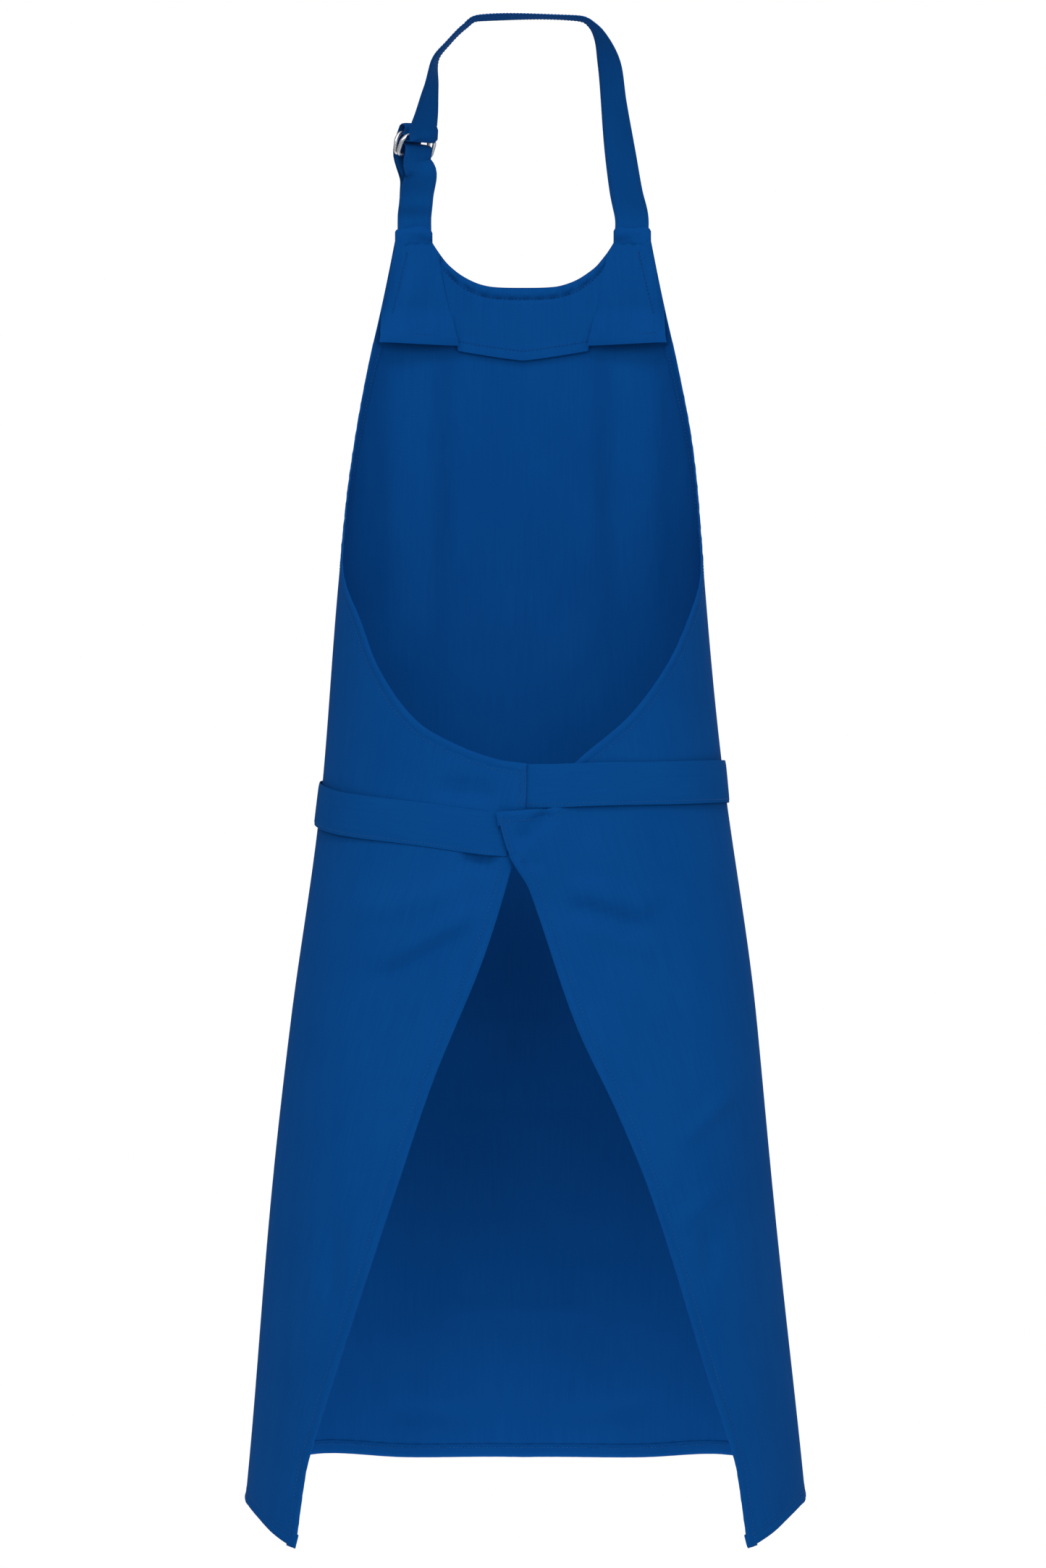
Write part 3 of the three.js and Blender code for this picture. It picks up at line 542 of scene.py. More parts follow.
# Rows lie closer where the side edges run across the body, and one passes through each corner
fine = np.linspace(BIB_TOP, CORNER_HEM, 4000)
edge_run = sum(
    np.abs(np.gradient(np.radians(side_angle(side, fine)))) * 0.14 for side in (-1, 1)
) + np.abs(np.gradient(fine))
run = np.concatenate([[0], np.cumsum(edge_run[1:])])
levels = np.interp(np.linspace(0, run[-1], ROWS), run, fine)
for corner in (LEFT_TIP, LEFT_TIP - TIP_WIDTH, RIGHT_TIP, RIGHT_TIP - TIP_WIDTH):
    levels[np.argmin(np.abs(levels - corner))] = corner
sides = np.linspace(-1, 1, COLUMNS + 1)


def panel_places():
    """The angle and height of each point of the panel's grid."""
    level = levels[:, None]
    edge = np.where(sides < 0, side_angle(-1, level), side_angle(1, level))
    angle = sides * edge
    corner = math.radians(BIB_CORNER_ANGLE)
    top = neckline(NECK_CORNER * np.sin(sides * corner) / math.sin(corner))
    share = (level - BIB_TOP) / (CORNER_HEM - BIB_TOP)
    return angle, top + share * (hem_height(sides) - top)


panel_angle, panel_height = panel_places()
panel_outside = on_cloth(panel_angle, panel_height, TWILL / 2)
panel = closed_sheet(
    "apron_panel",
    panel_outside,
    on_cloth(panel_angle, panel_height, -TWILL / 2),
    flat_grid(panel_outside),
    twill("blue twill", slant=1.05),
)
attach(panel, "apron")
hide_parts("main_panel")

# --- Hems --------------------------------------------------------------------------------------
# Along the armholes, the free edges of the wings and the bottom the cloth is turned in twice
# and sewn down with one row of lock stitch. The turned edge is thicker than the cloth, a
# little puffed, and gathers slightly between the stitches.
HEM_TWILL = twill("hem twill", slant=0.5)
HEM_WIDTH = 0.0100
HEM_SECTION = [  # (distance in from the edge, distance out from the cloth)
    (0.0056, 0.00030), (0.0048, 0.00062), (0.0028, 0.00085), (0.0008, 0.00074), (-0.0004, 0.00020),
    (-0.0004, -0.00070), (0.0008, -0.00110), (0.0030, -0.00120), (0.0060, -0.00105),
    (0.0088, -0.00095), (HEM_WIDTH, -0.00070), (HEM_WIDTH, -0.00030),
]
HEM_STEP = 0.0030
HEM_PUCKERS = (0.0150, 0.0083)  # lengths of the two waves in its puckers
STITCH_INSET = 0.0074
STITCH_PITCH = 0.0030
STITCH_LENGTH = 0.0022
STITCH_WIDTH = 0.00055
STITCH_RISE = 0.0003
SIDE_FACING_LOW = -0.2415  # above this the side facings cover the armholes' edges


def steps_inward(path, side):
    """For each point of a path of (angle, height): the step of one metre to its inner side."""
    angle, height = path.T
    per_degree = body_point(angle + 0.5, height) - body_point(angle - 0.5, height)
    per_metre = (body_point(angle, height + 0.001) - body_point(angle, height - 0.001)) / 0.002
    change = np.gradient(path, axis=0)
    travel = unit(per_degree * change[:, :1] + per_metre * change[:, 1:])
    inward = side * unit(np.cross(outward(angle, height), travel))
    dd = np.sum(per_degree * per_degree, -1)
    dm = np.sum(per_degree * per_metre, -1)
    mm = np.sum(per_metre * per_metre, -1)
    d_in = np.sum(per_degree * inward, -1)
    m_in = np.sum(per_metre * inward, -1)
    size = dd * mm - dm * dm
    return np.stack([(d_in * mm - m_in * dm) / size, (m_in * dd - d_in * dm) / size], -1)


def values_at(stops, run, values):
    """Rows of values at these stops, where each given row lies this far along a run."""
    return np.stack([np.interp(stops, run, column) for column in values.T], -1)


def evenly_spaced(path, pitch):
    """The path of (angle, height) again, with points a pitch apart on the body."""
    points = body_point(path[:, 0], path[:, 1])
    run = run_along(points)
    return values_at(np.linspace(0, run[-1], max(int(round(run[-1] / pitch)), 2) + 1), run, path)


def inset_path(path, side, inset):
    """A path of (angle, height), moved in from the edge."""
    return path + steps_inward(path, side) * inset


def swept(name, rings, material):
    """A closed strip through rings of points, capped at both ends."""
    count, around = rings.shape[:2]
    number = np.arange(count * around).reshape(count, around)
    beside = np.roll(number, -1, axis=1)
    quads = np.stack([number[:-1], beside[:-1], beside[1:], number[1:]], -1).reshape(-1, 4).tolist()
    quads += [number[0, ::-1].tolist(), number[-1].tolist()]
    down = run_along(rings[:, 0])
    steps = np.linalg.norm(rings - np.roll(rings, 1, axis=1), axis=-1)
    steps[:, 0] = 0
    places = np.stack([np.cumsum(steps, axis=1), np.broadcast_to(down[:, None], steps.shape)], -1)
    return mesh_piece(name, rings, quads, places, material)


def hem(name, path, side, seed):
    """The turned edge of the cloth along a path of (angle, height)."""
    path = evenly_spaced(path, HEM_STEP)
    step = steps_inward(path, side)
    turns = np.arange(len(path)) * HEM_STEP * 2 * math.pi
    gather = 0.5 * np.sin(turns / HEM_PUCKERS[0] + seed) + 0.5 * np.sin(turns / HEM_PUCKERS[1] + 3 * seed)
    rings = []
    for inset, rise in HEM_SECTION:
        angle = path[:, 0] + step[:, 0] * inset
        height = path[:, 1] + step[:, 1] * inset
        swell = 1 + 0.28 * gather * np.sign(rise)
        rings.append(on_cloth(angle, height, rise * swell))
    return swept(name, np.stack(rings, 1), HEM_TWILL)


def stitch_row(points, outs, pitch=STITCH_PITCH):
    """The six points of each stitch of a row along a line of points, given the ways outwards."""
    run = run_along(points)
    starts = np.arange(pitch / 2, run[-1] - pitch, pitch)
    first, last = values_at(starts, run, points), values_at(starts + STITCH_LENGTH, run, points)
    out = unit(values_at(starts + STITCH_LENGTH / 2, run, outs))
    along = unit(last - first)
    across = np.cross(out, along)
    middle = (first + last) / 2
    return [
        np.stack([
            one, other, centre + side_step * STITCH_WIDTH / 2, centre - side_step * STITCH_WIDTH / 2,
            centre + up * STITCH_RISE, centre - up * STITCH_RISE,
        ])
        for one, other, centre, side_step, up in zip(first, last, middle, across, out)
    ]


STITCH_FACES = [(0, 2, 4), (2, 1, 4), (1, 3, 4), (3, 0, 4), (2, 0, 5), (1, 2, 5), (3, 1, 5), (0, 3, 5)]


def mottled(name, colours, blotches, grain, from_grain, roughness, bump, **inputs):
    """A surface of two colours in blotches, with a fine grain: each is a noise's scale and detail."""
    material, tree, surface = new_material(name, inputs)
    place = node(tree, "ShaderNodeTexCoord").outputs["Object"]
    dark, light = [(*colour, 1) for colour in colours]
    fine_grain = noise(tree, place, *grain)
    feed(tree, surface, {
        "Base Color": mixed(tree, noise(tree, place, *blotches), dark, light),
        "Roughness": spread_over(tree, fine_grain, from_grain, roughness),
    })
    relief(tree, surface, fine_grain, bump, 0.0001)
    return material


def thread_material(name, colour):
    """Spun thread, whose strands are darker and lighter than its colour."""
    strands = (900.0, 2.0)
    colours = [[c * shade for c in colour] for shade in (0.75, 1.25)]
    return mottled(name, colours, strands, strands, (0, 1), (0.75, 0.5), 0.3, **{"Specular IOR Level": 0.3})


THREAD = thread_material("blue thread", (0.006, 0.090, 0.305))
# A darker copy of the blue thread. Its darkness is painted shade: the shadow of the grooves that the stitch
# rows sink into on the facings, the strap and the tab.
GROOVE_SHADED_THREAD = thread_material("thread darkened by painted groove shade", (0.001, 0.027, 0.115))


def sewn(name, stitches, material):
    """One object from all the stitches of a seam."""
    faces = [[k + 6 * s for k in face] for s in range(len(stitches)) for face in STITCH_FACES]
    points = np.concatenate(stitches)
    return mesh_piece(name, points, faces, points[:, :2], material, sharp=180)


def rows_on_both_faces(path, outside, inside):
    """Stitches along a path of (angle, height), on the outside and on the inside of the cloth."""
    angle, height = evenly_spaced(path, HEM_STEP / 2).T
    out = outward(angle, height)
    return [
        *stitch_row(on_cloth(angle, height, outside), out),
        *stitch_row(on_cloth(angle, height, inside), -out),
    ]


def side_path(side, from_level, to_level, count=400):
    """Part of a side edge, as a path of (angle, height)."""
    level = np.linspace(from_level, to_level, count)
    return np.stack([side * side_angle(side, level), level], -1)


bottom_sides = np.linspace(-1, 1, 500)
bottom_path = np.stack([bottom_sides * HEM_CORNER_ANGLE, hem_height(bottom_sides)], -1)
# Each hem: its path, and the side on which the cloth lies
HEMS = {
    "hem_left_armhole": (side_path(-1, SIDE_FACING_LOW, LEFT_TIP), -1),
    "hem_right_armhole": (side_path(1, SIDE_FACING_LOW, RIGHT_TIP), 1),
    "hem_left_edge": (side_path(-1, LEFT_TIP - TIP_WIDTH, CORNER_HEM), -1),
    "hem_right_edge": (side_path(1, RIGHT_TIP - TIP_WIDTH, CORNER_HEM), 1),
    "hem_bottom": (bottom_path, -1),
}
hems = []
hem_stitches = []
for number, (name, (path, side)) in enumerate(HEMS.items()):
    hems.append(hem(name, path, side, 1.7 * number))
    line = inset_path(evenly_spaced(path, HEM_STEP), side, STITCH_INSET)
    hem_stitches += rows_on_both_faces(line, TWILL / 2 + 0.0001, -0.00105)
hem_seams = sewn("hem_seams", hem_stitches, THREAD)
for piece in (*hems, hem_seams):
    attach(piece, "apron")

# --- Facings -----------------------------------------------------------------------------------
# Three pieces of the same twill line the inside of the bib's top: one across the neckline, cut
# to a shallow point, and one below each strap. They are sewn along their edges, and their
# lower edges, each turned up and sewn, hang free of the bib.
FACING_TWILL = twill("facing twill", slant=1.05)
FACING_THICKNESS = 0.0008
CENTRE_FACING_LOW = -0.2455
FACING_POINT = 0.0070
FACING_TOP_HALF_WIDTH = 0.064
NECK_SEAM = 0.0085  # from the neckline to the row of stitches along it
FACING_LOW_HALF_WIDTH = 0.051
SEAM_TOP_DEPTH = 0.018
FACING_GAP = 0.0011  # middle of the bib's cloth to the middle of a facing
CENTRE_GAP = FACING_GAP + 0.0004  # the centre facing lies over the edges of the others
CENTRE_SEAM_HALF_WIDTH = 0.063  # of the row of stitches along the neckline
FLAP_STAND = 0.0105  # how far a side facing's lower edge hangs off the bib
TURN_UP = 0.0075
TURN_UP_SHARE = 0.905  # how far down a side facing the stitches of its turn-up lie


def facing_seam(height):
    """Half the centre facing's width, at the seams between it and the side facings."""
    top = BIB_TOP - SEAM_TOP_DEPTH
    share = np.clip((top - height) / (top - CENTRE_FACING_LOW), 0, 1)
    return FACING_TOP_HALF_WIDTH + share * (FACING_LOW_HALF_WIDTH - FACING_TOP_HALF_WIDTH)


def centre_facing_low(across):
    """The centre facing's pointed lower edge: across is -1 at one end and 1 at the other."""
    return CENTRE_FACING_LOW - FACING_POINT * (1 - np.abs(across) ** 1.15)


def flap_hang(share, reach):
    """How far a side facing hangs off the bib: share is the way down it, reach the way across."""
    return FLAP_STAND * (ramp(share, 0.62, 1) * np.sin(math.pi * np.clip(0.08 + reach * 0.86, 0, 1)) ** 0.6)


def angle_at(x, height):
    """Where x is on the front of the body, in degrees."""
    return np.degrees(np.arcsin(np.clip(x / smooth_along(HALF_WIDTHS, height), -1, 1)))


def facing(name, angle, height, depth):
    """A facing on the inside of the bib, with its middle this deep below the bib's cloth."""
    outer = on_cloth(angle, height, -depth + FACING_THICKNESS / 2)
    inner = on_cloth(angle, height, -depth - FACING_THICKNESS / 2)
    return closed_sheet(name, outer, inner, flat_grid(outer), FACING_TWILL)


shares = np.linspace(0, 1, 45)[:, None]
across = np.linspace(-1, 1, 61)[None, :]
centre_top = neckline(across * FACING_TOP_HALF_WIDTH) - 0.0004
centre_bottom = centre_facing_low(across)
centre_height = centre_top + shares * (centre_bottom - centre_top)
centre_angle = angle_at(across * facing_seam(centre_height), centre_height)
turned_up = ramp(centre_height - centre_bottom, TURN_UP, TURN_UP - 0.0012)
centre_stand = 0.0014 * ramp(shares, 0.75, 1) + 0.0005 * turned_up
from_neck = centre_top - centre_height
puff = np.sin(math.pi * np.clip(from_neck / NECK_SEAM, 0, 1))
dent = np.exp(-(((from_neck - NECK_SEAM) / 0.0016) ** 2))
gathers = 1 + 0.8 * np.sin(2 * math.pi * across * FACING_TOP_HALF_WIDTH / 0.0115 + 2.1 * shares)
centre_stand = centre_stand + 0.0015 * puff * gathers - 0.0007 * dent
centre_facing = facing("centre_facing", centre_angle, centre_height, CENTRE_GAP + centre_stand)

facings = [centre_facing]
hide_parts("neck_facing_centre")
for side, word in ((-1, "left"), (1, "right")):
    share = np.linspace(0, 1, 49)[:, None]
    height = BIB_TOP + 0.0003 + share * (SIDE_FACING_LOW - BIB_TOP - 0.0003)
    seam = facing_seam(height) - 0.0010
    below_top = np.clip((BIB_TOP + 0.0003 - height) / NECKLINE_DEPTH, 0, 1)
    inner_x = np.maximum(seam, (NECKLINE_HALF_WIDTH + 0.0005) * (1 - below_top) ** (1 / 3.5))
    outer_angle = side_angle(-1, height) - 0.15
    reach = np.linspace(0, 1, 41)[None, :]
    angle = angle_at(inner_x, height) * (1 - reach) + outer_angle * reach
    fold = 0.0005 * ramp(height - SIDE_FACING_LOW, TURN_UP + 0.001, TURN_UP - 0.0002)
    soft = 0.0006 * np.sin(9 * reach + 5 * share * side) * np.sin(math.pi * share)
    depth = FACING_GAP + flap_hang(share, reach) + fold + soft
    piece = facing(f"side_facing_piece_{word}", side * angle, height + 0 * angle, depth)
    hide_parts(f"side_facing_{word}")
    facings.append(piece)


def row_inside(angle, height, depth):
    """A row of stitches on the inside of the bib, this deep below the middle of its cloth."""
    return stitch_row(on_cloth(angle, height, -depth), -outward(angle, height))


FACE = FACING_THICKNESS / 2 + 0.0001  # from a facing's middle to the stitches on it
across = np.linspace(-1, 1, 120)
height = centre_facing_low(across) + TURN_UP
angle = angle_at(across * facing_seam(height) * 0.985, height)
facing_lines = row_inside(angle, height, FACING_GAP + 0.0022 + FACE)
across = across * CENTRE_SEAM_HALF_WIDTH
height = neckline(across) - NECK_SEAM
facing_lines += row_inside(angle_at(across, height), height, CENTRE_GAP + FACE)
for side in (-1, 1):
    reach = np.linspace(0.03, 0.97, 60)
    height = np.full(60, SIDE_FACING_LOW + TURN_UP)
    inner_angle = angle_at(facing_seam(height), height)
    angle = side * (inner_angle * (1 - reach) + side_angle(-1, height) * reach)
    facing_lines += row_inside(angle, height, FACING_GAP + flap_hang(TURN_UP_SHARE, reach) + FACE)
    edge = inset_path(side_path(side, BIB_TOP - 0.004, SIDE_FACING_LOW + 0.002, 60), side, NECK_SEAM)
    facing_lines += row_inside(*edge.T, FACING_GAP + 0.0013)
# These stitches use the thread darkened by painted groove shade.
facing_seams = sewn("facing_seams", facing_lines, GROOVE_SHADED_THREAD)
for piece in (*facings, facing_seams):
    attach(piece, "apron")

# --- Strap casings -----------------------------------------------------------------------------
# Each top corner of the bib is folded over the end of a strap, or of the ring tab, and sewn
# shut below it. The fold is a soft puffy roll of four layers of twill.
CASING_TWILL = twill("casing twill", slant=0.6)
CASING_TOP = -0.1503
CASING_LOW = -0.1665
CASING_HALF_THICKNESS = 0.0034
CASING_INNER = 0.0700
CASING_OUTER = 0.0990
STRAP_FOOT = np.array([0.084, 0.066, -0.150])


def casing(name, side):
    """The puffy roll at a top corner of the bib: side is -1 on the left and 1 on the right."""
    around = np.linspace(0, 2 * math.pi, 29)[:-1]
    rings = []
    for share in np.linspace(0, 1, 33):
        x = CASING_INNER + share * (CASING_OUTER - CASING_INNER)
        # The ends are rounded, and the roll is fuller at its middle
        end = max(0.0, 1 - ((abs(share - 0.5) * 2) ** 3.5)) ** 0.6
        end = 0.22 + 0.78 * end
        top = CASING_TOP - 0.0055 * (1 - end) + 0.0009 * math.sin(7.5 * share + side)
        low = CASING_LOW + 0.0018 * (1 - end) + 0.0012 * math.sin(5 * share)
        middle = (top + low) / 2
        z = middle + (top - middle) * np.sign(np.cos(around)) * np.abs(np.cos(around)) ** 0.75
        down = (top - z) / (top - low)
        bib_y = on_cloth(angle_at(x, BIB_TOP), BIB_TOP, 0)[1]
        seat = STRAP_FOOT[1] + (bib_y - STRAP_FOOT[1]) * ramp(down, 0.3, 1)
        wall = CASING_HALF_THICKNESS * end * (1 - 0.42 * ramp(down, 0.55, 1))
        dent = 0.0011 * np.exp(-(((down - 0.62 - 0.09 * math.sin(7 * share)) / 0.10) ** 2))
        ripple = 0.0004 * math.sin(23 * share + 2 * side) * ramp(down, 0.35, 0.8)
        y = seat + np.sign(np.sin(around)) * np.abs(np.sin(around)) ** 0.8 * (wall - dent + ripple)
        rings.append(np.stack([np.full(len(around), side * x), y, z], -1))
    return swept(name, np.array(rings), CASING_TWILL)


for side, word in ((-1, "left"), (1, "right")):
    piece = casing(f"casing_roll_{word}", side)
    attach(piece, "apron")
    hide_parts(f"strap_casing_{word}")

# --- Rings -------------------------------------------------------------------------------------
# A pair of bent rings of nickel-plated wire, each a straight bar below and a squared bow
# above. The tab holds both bars, and the strap threads between the bows.
RING_LEAN = 19  # of the rings towards the wearer, in degrees
RING_TWIST = 40  # of their outer ends towards the wearer
WIRE_RADIUS = 0.0015
RING_REACH = 0.0162  # from a ring's middle to the middle of the wire at its side
RING_HEIGHT = 0.0165
RING_FOOT = 0.003
RING_SHOULDER = 0.008
BAR_SPACING = 0.0038
BOW_SPACING = 0.0092
RING_SHIFT = -0.0013  # of both rings along their bars, towards their outer ends
hinges = {joint["name"]: joint["pos_m"] for joint in frame["record"]["behaviour"]["joints"]}
BARS = (np.array(hinges["inner_ring_tilt"]) + np.array(hinges["outer_ring_tilt"])) / 2


def by_rings(along, out, up):
    """A point beside the rings: along their bars, out from the chest, and up along the strap."""
    lean, twist = math.radians(RING_LEAN), math.radians(RING_TWIST)
    forward = out * math.cos(lean) - up * math.sin(lean)
    return BARS + np.array([
        along * math.cos(twist) - forward * math.sin(twist),
        along * math.sin(twist) + forward * math.cos(twist),
        out * math.sin(lean) + up * math.cos(lean),
    ])


# Nickel plating: fine drawing lines, soft scuffs and a little tarnish in places
NICKEL = mottled(
    "nickel plated wire",
    colours=((0.78, 0.79, 0.82), (0.60, 0.61, 0.66)),
    blotches=(90.0, 2.0),
    grain=(260.0, 4.0),
    from_grain=(0.35, 0.7),
    roughness=(0.14, 0.34),
    bump=0.1,
    Metallic=1.0,
)


def bent_ring(name, side):
    """Bends one ring from a straight wire, then leans it: side is -1 for the inner ring."""
    reach, foot, shoulder = RING_REACH, RING_FOOT, RING_SHOULDER
    top = RING_HEIGHT - shoulder
    bpy.ops.mesh.primitive_circle_add(
        vertices=14, radius=WIRE_RADIUS, location=(foot - reach, 0, 0), rotation=(0, math.pi / 2, 0)
    )
    ring = bpy.context.object
    ring.name = name
    bpy.ops.object.transform_apply(location=True, rotation=True, scale=True)
    bpy.ops.object.mode_set(mode="EDIT")
    bpy.ops.mesh.select_all(action="SELECT")

    def run(step):
        bpy.ops.mesh.extrude_region_move(TRANSFORM_OT_translate={"value": step})

    def bend(x, z, steps):
        bpy.ops.mesh.spin(steps=steps, angle=math.pi / 2, center=(x, 0, z), axis=(0, 1, 0))

    run((2 * (reach - foot), 0, 0))
    bend(reach - foot, foot, 5)
    run((0, 0, top - foot))
    bend(reach - shoulder, top, 8)
    run((2 * (shoulder - reach), 0, 0))
    bend(shoulder - reach, top, 8)
    run((0, 0, foot - top))
    bend(foot - reach, foot, 5)
    bpy.ops.mesh.select_all(action="SELECT")
    bpy.ops.mesh.remove_doubles(threshold=0.00005)
    bpy.ops.mesh.normals_make_consistent(inside=False)
    bpy.ops.object.mode_set(mode="OBJECT")
    spread = side * (BOW_SPACING - BAR_SPACING) / 2
    lean = math.radians(RING_LEAN) - math.atan2(spread, RING_HEIGHT)
    ring.rotation_euler = (lean, 0, math.radians(RING_TWIST))
    ring.location = by_rings(RING_SHIFT, side * BAR_SPACING / 2, 0)
    bpy.ops.object.transform_apply(location=True, rotation=True, scale=True)
    bpy.ops.object.shade_smooth()
    ring.data.materials.append(NICKEL)
    ring.select_set(False)
    return ring


for side, word in ((-1, "inner"), (1, "outer")):
    ring = bent_ring(f"wire_ring_{word}", side)
    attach(ring, f"{word}_ring")
    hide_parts(f"ring_{word}")

# --- Neck strap --------------------------------------------------------------------------------
# One long strip of doubled twill, sewn along both edges. It starts in the right casing, goes
# round the neck, doubles back through the rings and hangs down on the outside of the bib.
STRAP_BLUES = ((0.0010, 0.0430, 0.190), (0.0030, 0.0710, 0.270))
STRAP_TWILL = twill("strap twill", slant=0.75, blues=STRAP_BLUES)
STRAP_WIDTH = 0.026
STRAP_THICKNESS = 0.0015
STRAP_EDGE_STITCH = 0.0021
HINGE_ROOM = 0.007
RIGHT_SIDE = [  # (x, y, z, turn of the strap's width in degrees)
    (0.0840, 0.0660, -0.1575, 0), (0.0840, 0.0660, -0.1430, 0), (0.0795, 0.0590, -0.1238, 13),
    (0.0740, 0.0430, -0.0908, 31), (0.0695, 0.0280, -0.0593, 43), (0.0660, 0.0160, -0.0323, 51),
    (0.0610, 0.0080, -0.0158, 70), (0.0530, 0.0020, -0.0046, 84), (0.0400, 0.0000, 0.0007, 90),
]
LEFT_SIDE = [
    (-0.0320, 0.0000, 0.0007, 90), (-0.0440, 0.0020, -0.0053, 92), (-0.0570, 0.0060, -0.0173, 93),
    (-0.0670, 0.0110, -0.0293, 97), (-0.0706, 0.0200, -0.0488, 110), (-0.0738, 0.0280, -0.0663, 125),
]
BELOW_RINGS = [  # the middle of the tab, between the rings and the casing
    (-0.0800, 0.0550, -0.1120, 162), (-0.0820, 0.0603, -0.1260, 175), (-0.0830, 0.0632, -0.1350, 178),
]
BOW_OUT = BOW_SPACING / 2
STRAP_SLACK = 0.0028
STRAP_TURN = WIRE_RADIUS + STRAP_SLACK + STRAP_THICKNESS / 2
TAIL_TURN = 2 * BOW_OUT - STRAP_TURN


def curve_through(places, pitch):
    """A smooth curve through places, whose first three numbers are a point, in steps of pitch."""
    places = np.array(places, float)
    gaps = np.linalg.norm(np.diff(places[:, :3], axis=0), axis=1)
    knots = np.concatenate([[0], np.cumsum(np.sqrt(gaps))])
    slopes = np.empty_like(places)
    slopes[1:-1] = (places[2:] - places[:-2]) / (knots[2:] - knots[:-2])[:, None]
    slopes[0] = (places[1] - places[0]) / (knots[1] - knots[0])
    slopes[-1] = (places[-1] - places[-2]) / (knots[-1] - knots[-2])
    fine_at = np.linspace(0, knots[-1], 60 * len(places))
    k = np.clip(np.searchsorted(knots, fine_at, side="right") - 1, 0, len(knots) - 2)
    span = (knots[k + 1] - knots[k])[:, None]
    t = (fine_at - knots[k])[:, None] / span
    curve = (
        (2 * t**3 - 3 * t**2 + 1) * places[k] + (t**3 - 2 * t**2 + t) * span * slopes[k]
        + (3 * t**2 - 2 * t**3) * places[k + 1] + (t**3 - t**2) * span * slopes[k + 1]
    )
    run = run_along(curve[:, :3])
    return values_at(np.linspace(0, run[-1], max(int(run[-1] / pitch), 8) + 1), run, curve)


def strip(name, centres, across, width, thickness, material, waves, columns=11):
    """A strip of doubled cloth along its centre line. waves(run, side) lifts it off its plane."""
    along = unit(np.gradient(centres, axis=0))
    across = unit(across - along * np.sum(across * along, -1, keepdims=True))
    normal = np.cross(across, along)
    side = np.linspace(-1, 1, columns)[None, :]
    run = run_along(centres)[:, None]
    lift = waves(run, side)
    half = np.broadcast_to(width, len(centres))[:, None] / 2
    body = thickness / 2 * (0.35 + 0.65 * np.sqrt(1 - np.abs(side) ** 5))
    flat = centres[:, None] + across[:, None] * (side * half)[..., None]
    outer = flat + normal[:, None] * (lift + body)[..., None]
    inner = flat + normal[:, None] * (lift - body)[..., None]
    places = np.stack([side * half, np.broadcast_to(run, lift.shape)], -1)
    piece = closed_sheet(name, outer, inner, places, material)
    return piece, outer, inner, normal


def edge_stitches(outer, inner, normal, width, inset, sides=(-1, 1), trim=1):
    """Rows of stitches near the edges of a strip, on both of its faces."""
    columns = outer.shape[1]
    stitches = []
    for side in sides:
        place = (columns - 1) * (0.5 + side * (0.5 - inset / width))
        low = int(place)
        part = place - low
        for grid, out in ((outer, normal), (inner, -normal)):
            line = grid[:, low] * (1 - part) + grid[:, min(low + 1, columns - 1)] * part
            stitches += stitch_row(line[trim:-trim], out[trim:-trim], 0.0026)
    return stitches


def turned(places):
    """The direction of the strap's width, from its turn in degrees."""
    turn = np.radians(places[:, 3])
    return np.stack([np.cos(turn), -np.sin(turn), 0 * turn], -1)


def below_rings(distances):
    """Places below the rings, each moved out from the chest by its own distance."""
    places = []
    for (x, y, z, turn), distance in zip(BELOW_RINGS, distances):
        facing_out = math.radians(180 - turn)
        places.append(
            (x - distance * math.sin(facing_out), y + distance * math.cos(facing_out), z, turn)
        )
    return places


ALONG_RINGS = 180 - RING_TWIST
on_foot = STRAP_FOOT * (-1, 1, 1)


def strap_places():
    """The strap's centre line: up from the right casing, round the neck, round the rings and down."""
    rounds = [
        by_rings(-0.001, -BOW_OUT + STRAP_TURN * math.cos(turn), RING_HEIGHT + STRAP_TURN * math.sin(turn))
        for turn in np.linspace(math.pi, 2 * math.pi, 6)
    ] + [
        by_rings(0, BOW_OUT + TAIL_TURN * math.cos(turn), RING_HEIGHT + 0.002 + TAIL_TURN * math.sin(turn))
        for turn in np.linspace(math.pi, 0, 6)
    ]
    entry = by_rings(-0.0040, -BOW_OUT - STRAP_TURN, RING_HEIGHT + 0.005)
    at_rings = [entry, *rounds, by_rings(0, BOW_OUT + TAIL_TURN + 0.001, 0.001)]
    over_casing = [on_foot + (0, 0.005, HINGE_ROOM), on_foot + (0, 0.005, -HINGE_ROOM)]
    on_bib = [
        on_body(-angle_at(STRAP_FOOT[0], np.array(height)), height, 0.0030)
        for height in np.linspace(-0.1745, -0.214, 4)
    ]
    places = RIGHT_SIDE + LEFT_SIDE + [(*point, ALONG_RINGS) for point in at_rings]
    places += below_rings((0.009, 0.005, 0.005))
    places += [(*point, 180) for point in (*over_casing, *on_bib)]
    return places


strap_line = curve_through(strap_places(), 0.0030)


def strap_waves(run, side):
    return 0.0004 * np.sin(run * 70) * side + 0.0005 * np.sin(run * 41 + 1) * (1 - side**2)


def strap_strip(name, seams_name, line, waves):
    """A strip of the strap's twill with its stitches, laid along a line that runs over the casing."""
    cloth, outer, inner, normal = strip(
        name, line[:, :3], turned(line), STRAP_WIDTH, STRAP_THICKNESS, STRAP_TWILL, waves
    )
    stitches = edge_stitches(outer, inner, normal, STRAP_WIDTH, STRAP_EDGE_STITCH, trim=3)
    # The strap's stitches use the thread darkened by painted groove shade.
    seams = sewn(seams_name, stitches, GROOVE_SHADED_THREAD)
    for piece in (cloth, seams):
        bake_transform(piece)
    return cloth, seams


strap, strap_seams = strap_strip("long_strap", "strap_seams", strap_line, strap_waves)
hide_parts("neck_strap", "strap_tail")

